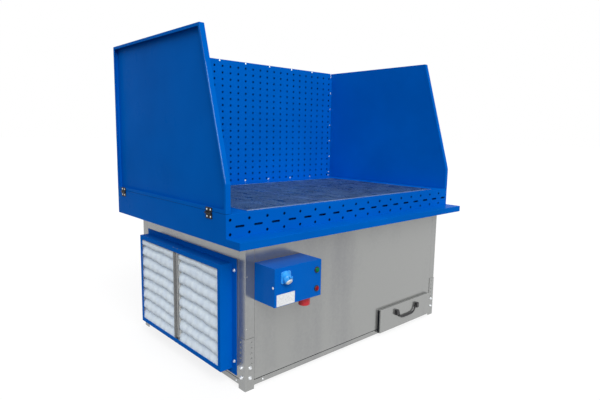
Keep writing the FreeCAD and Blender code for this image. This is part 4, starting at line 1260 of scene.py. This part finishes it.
    def inlet_core(self):
        """Round core with five pins below it."""
        low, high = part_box("power_inlet")
        core_low, core_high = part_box("inlet_core")
        pin_length = 0.014
        length = core_high.z - core_low.z - pin_length
        top = np.array([(low.x + high.x) / 2, (low.y + high.y) / 2, core_high.z])
        core = [(0, 0), (0.0176, 0), (0.0176, length - 0.001), (0.0166, length), (0, length)]
        pin = [(0, 0), (0.0025, 0), (0.0025, 0.0125), (0.0016, pin_length), (0, pin_length)]
        places = ring_places(5, 0.008) + top + length * np.array(to_floor)
        pins = copies(turned(pin, (0, 0, 0), to_floor, 14), places)
        shape = together([turned(core, top, to_floor, 36), pins])
        add_piece("round_inlet_core", shape, "black_plastic", "cabinet", ["inlet_core"])

    def plate(self):
        """Bare plate at the lower left of the box's front."""
        width, height, corner = 0.103, 0.052, 0.002
        sheet = 0.0006
        centre = (box_low.x + 0.0625, box_low.y, box_low.z + 0.028)
        shape = prism(rounded_outline(width, height, corner), centre, to_right, to_top, (0, -sheet, 0))
        add_piece("bare_plate", shape, "plated_steel", "cabinet", bevel=0.0002)

    def execute(self, context):
        self.buttons()
        self.socket()
        self.lid()
        self.inlet()
        self.inlet_core()
        self.plate()
        return {"FINISHED"}


# Drawer
class DOWNDRAFT_OT_drawer(bpy.types.Operator):
    """Black strips of painted shade on the sides of the dust drawer's front, and its handle: a bow that thickens
    to a grip, between two pins
    """

    bl_idname = "downdraft.drawer"
    bl_label = "Drawer"

    pin_length: a_length("Pin length", "Length of each pin of the handle", 0.0275)

    def drawer_shade_strips(self):
        """Black strip of painted shade and reflection on the rear half of each side edge of the drawer's front."""
        low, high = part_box("drawer_front")
        sheet = 0.0006
        sunk = 0.0002
        front = high.y - 0.009
        top = high.z - 0.004
        lows = [(low.x - sheet, front, low.z), (high.x - sunk, front, low.z)]
        highs = [(low.x + sunk, high.y, top), (high.x + sheet, high.y, top)]
        return blocks(lows, highs)

    def bow(self, centre, half, reach):
        """Tube on half a superellipse that narrows downwards, from pin to pin."""
        narrowing = 0.14
        radius = 0.0048
        grip = 0.0014
        angle = np.linspace(0, np.pi, 97)
        drop = np.sin(angle) ** 0.5
        side = np.sign(np.cos(angle)) * np.abs(np.cos(angle)) ** 0.5
        x = centre[0] + half * side * (1 - narrowing * drop)
        path = stacked(x, centre[1], centre[2] - reach * drop)
        return swept(path, to_rear, radius + grip * np.clip((drop - 0.8) / 0.2, 0, 1))

    def pin(self, centre, end, turn):
        """Stepped pin out to one end of the axis."""
        length = self.pin_length
        profile = [
            (0, 0), (0.0045, 0), (0.0050, 0.0006), (0.0050, 0.0050), (0.0035, 0.0060), (0.0035, length),
            (0, length),
        ]
        start = (centre[0] + turn * (end - length), centre[1], centre[2])
        return turned(profile, start, (turn, 0, 0), 20)

    def execute(self, context):
        # Black strips that stand in for the shade and dark reflection on the drawer front's sides: painted shade
        add_piece("painted_drawer_side_shade", self.drawer_shade_strips(), "hinge_black", "drawer", finish="shade_black")
        low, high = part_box("bail_handle")
        end = (high.x - low.x) / 2
        axis_drop = 0.0045
        inset = 0.026
        clear = 0.0055
        centre = ((low.x + high.x) / 2, (low.y + high.y) / 2, high.z - axis_drop)
        bow = self.bow(centre, end - inset, centre[2] - low.z - clear)
        shape = together([bow, self.pin(centre, end, -1), self.pin(centre, end, 1)])
        add_piece("round_bail", shape, "black_plastic", "handle", ["bail_handle"], smooth=50)
        return {"FINISHED"}


# Stage
def seen_directly(tree):
    """One where the camera, a gloss or a clear surface sees the shader, and nought for scattered light."""
    path = add_node(tree, "LightPath", {}).outputs
    seen = path["Is Camera Ray"]
    for name in ("Is Glossy Ray", "Is Transmission Ray"):
        seen = add_math(tree, "MAXIMUM", seen, path[name])
    return seen


class DOWNDRAFT_OT_stage(bpy.types.Operator):
    """Pale floor, white surroundings, soft light and the camera"""

    bl_idname = "downdraft.stage"
    bl_label = "Stage"

    def floor(self):
        """Wide disc; seen directly it glows a little, so that it meets the white surroundings."""
        below = -0.0005
        rings = [(radius, below) for radius in (0.0, 3.0, 12.0, 60.0)]
        pale = Finish("pale floor", (0.2, 0.2, 0.2), 0.9)
        pale.tint(pale.noise(0.6), (0.995, 0.995, 0.995), (1, 1, 1))
        glow = pale.between(seen_directly(pale.tree), 0, 1, 0.0, 0.8)
        pale.shade(Emission_Color=(1, 1, 1, 1), Emission_Strength=glow)
        disc = merged_mesh("floor", turned(rings, (0, 0, 0), to_top, 48), to_top)
        add_object("floor", disc, pale.material)

    def surroundings(self):
        """World at the fill level, but white where the camera, a gloss or a clear surface sees it."""
        world = bpy.data.worlds.new("studio")
        world.use_nodes = True
        tree = world.node_tree
        values = {"Value": seen_directly(tree), "To Min": stage_settings().world_strength, "To Max": 1.0}
        level = add_node(tree, "MapRange", values).outputs["Result"]
        fill_sockets(tree, tree.nodes["Background"], {"Color": (1, 1, 1, 1), "Strength": level})
        bpy.context.scene.world = world

    def key_light(self):
        """Broad sun from the front left and above."""
        light = bpy.data.lights.new("key", "SUN")
        light.energy = stage_settings().key_strength
        light.angle = math.radians(50)
        lamp = bpy.data.objects.new("key", light)
        toward = Vector((-0.30, -0.68, 0.67))
        lamp.rotation_mode = "QUATERNION"
        lamp.rotation_quaternion = toward.to_track_quat("Z", "Y")
        bpy.context.scene.collection.objects.link(lamp)

    def camera(self):
        """Camera from the photograph: yaw from +Y to +X, pitch above the horizon, roll about the view."""
        yaw, pitch, roll = (math.radians(value) for value in (42.448, -7.913, 0.995))
        ahead = np.array([math.sin(yaw) * math.cos(pitch), math.cos(yaw) * math.cos(pitch), math.sin(pitch)])
        right = np.array([math.cos(yaw), -math.sin(yaw), 0.0])
        upward = np.cross(right, ahead)
        across = right * math.cos(roll) + upward * math.sin(roll)
        above = upward * math.cos(roll) - right * math.sin(roll)
        data = bpy.data.cameras.new("camera")
        data.lens = stage_settings().lens
        data.sensor_width = 36.0
        data.clip_end = 200.0
        camera = bpy.data.objects.new("camera", data)
        turn = Matrix(stacked(across, above, -ahead).tolist())
        eye = (-1.9563, cabinet_front - 1.6617, 1.1596)
        camera.matrix_world = Matrix.Translation(eye) @ turn.to_4x4()
        bpy.context.scene.collection.objects.link(camera)
        bpy.context.scene.camera = camera

    def execute(self, context):
        self.floor()
        self.surroundings()
        self.key_light()
        self.camera()
        bpy.context.scene.view_settings.view_transform = "Standard"
        return {"FINISHED"}


operators = (
    DOWNDRAFT_OT_finishes, DOWNDRAFT_OT_fascia, DOWNDRAFT_OT_panel_edges, DOWNDRAFT_OT_legs,
    DOWNDRAFT_OT_grates, DOWNDRAFT_OT_filters, DOWNDRAFT_OT_hinges, DOWNDRAFT_OT_fasteners,
    DOWNDRAFT_OT_controls, DOWNDRAFT_OT_drawer, DOWNDRAFT_OT_stage,
)


class DOWNDRAFT_PT_panel(bpy.types.Panel):
    """Sidebar panel that lists the operators in their order."""

    bl_idname = "DOWNDRAFT_PT_panel"
    bl_label = "Downdraft table"
    bl_space_type = "VIEW_3D"
    bl_region_type = "UI"
    bl_category = "Downdraft table"

    def draw(self, context):
        for operator in operators:
            self.layout.operator(operator.bl_idname)


classes = (TableSizes, TableColours, StageSettings) + operators + (DOWNDRAFT_PT_panel,)


def register():
    for item in classes:
        bpy.utils.register_class(item)
    bpy.types.Scene.downdraft_sizes = PointerProperty(type=TableSizes)
    bpy.types.Scene.downdraft_colours = PointerProperty(type=TableColours)
    bpy.types.Scene.downdraft_stage = PointerProperty(type=StageSettings)


def unregister():
    del bpy.types.Scene.downdraft_stage
    del bpy.types.Scene.downdraft_colours
    del bpy.types.Scene.downdraft_sizes
    for item in reversed(classes):
        bpy.utils.unregister_class(item)


def main():
    register()
    for operator in operators:
        group, action = operator.bl_idname.split(".")
        getattr(getattr(bpy.ops, group), action)()


if __name__ == "__main__":
    main()
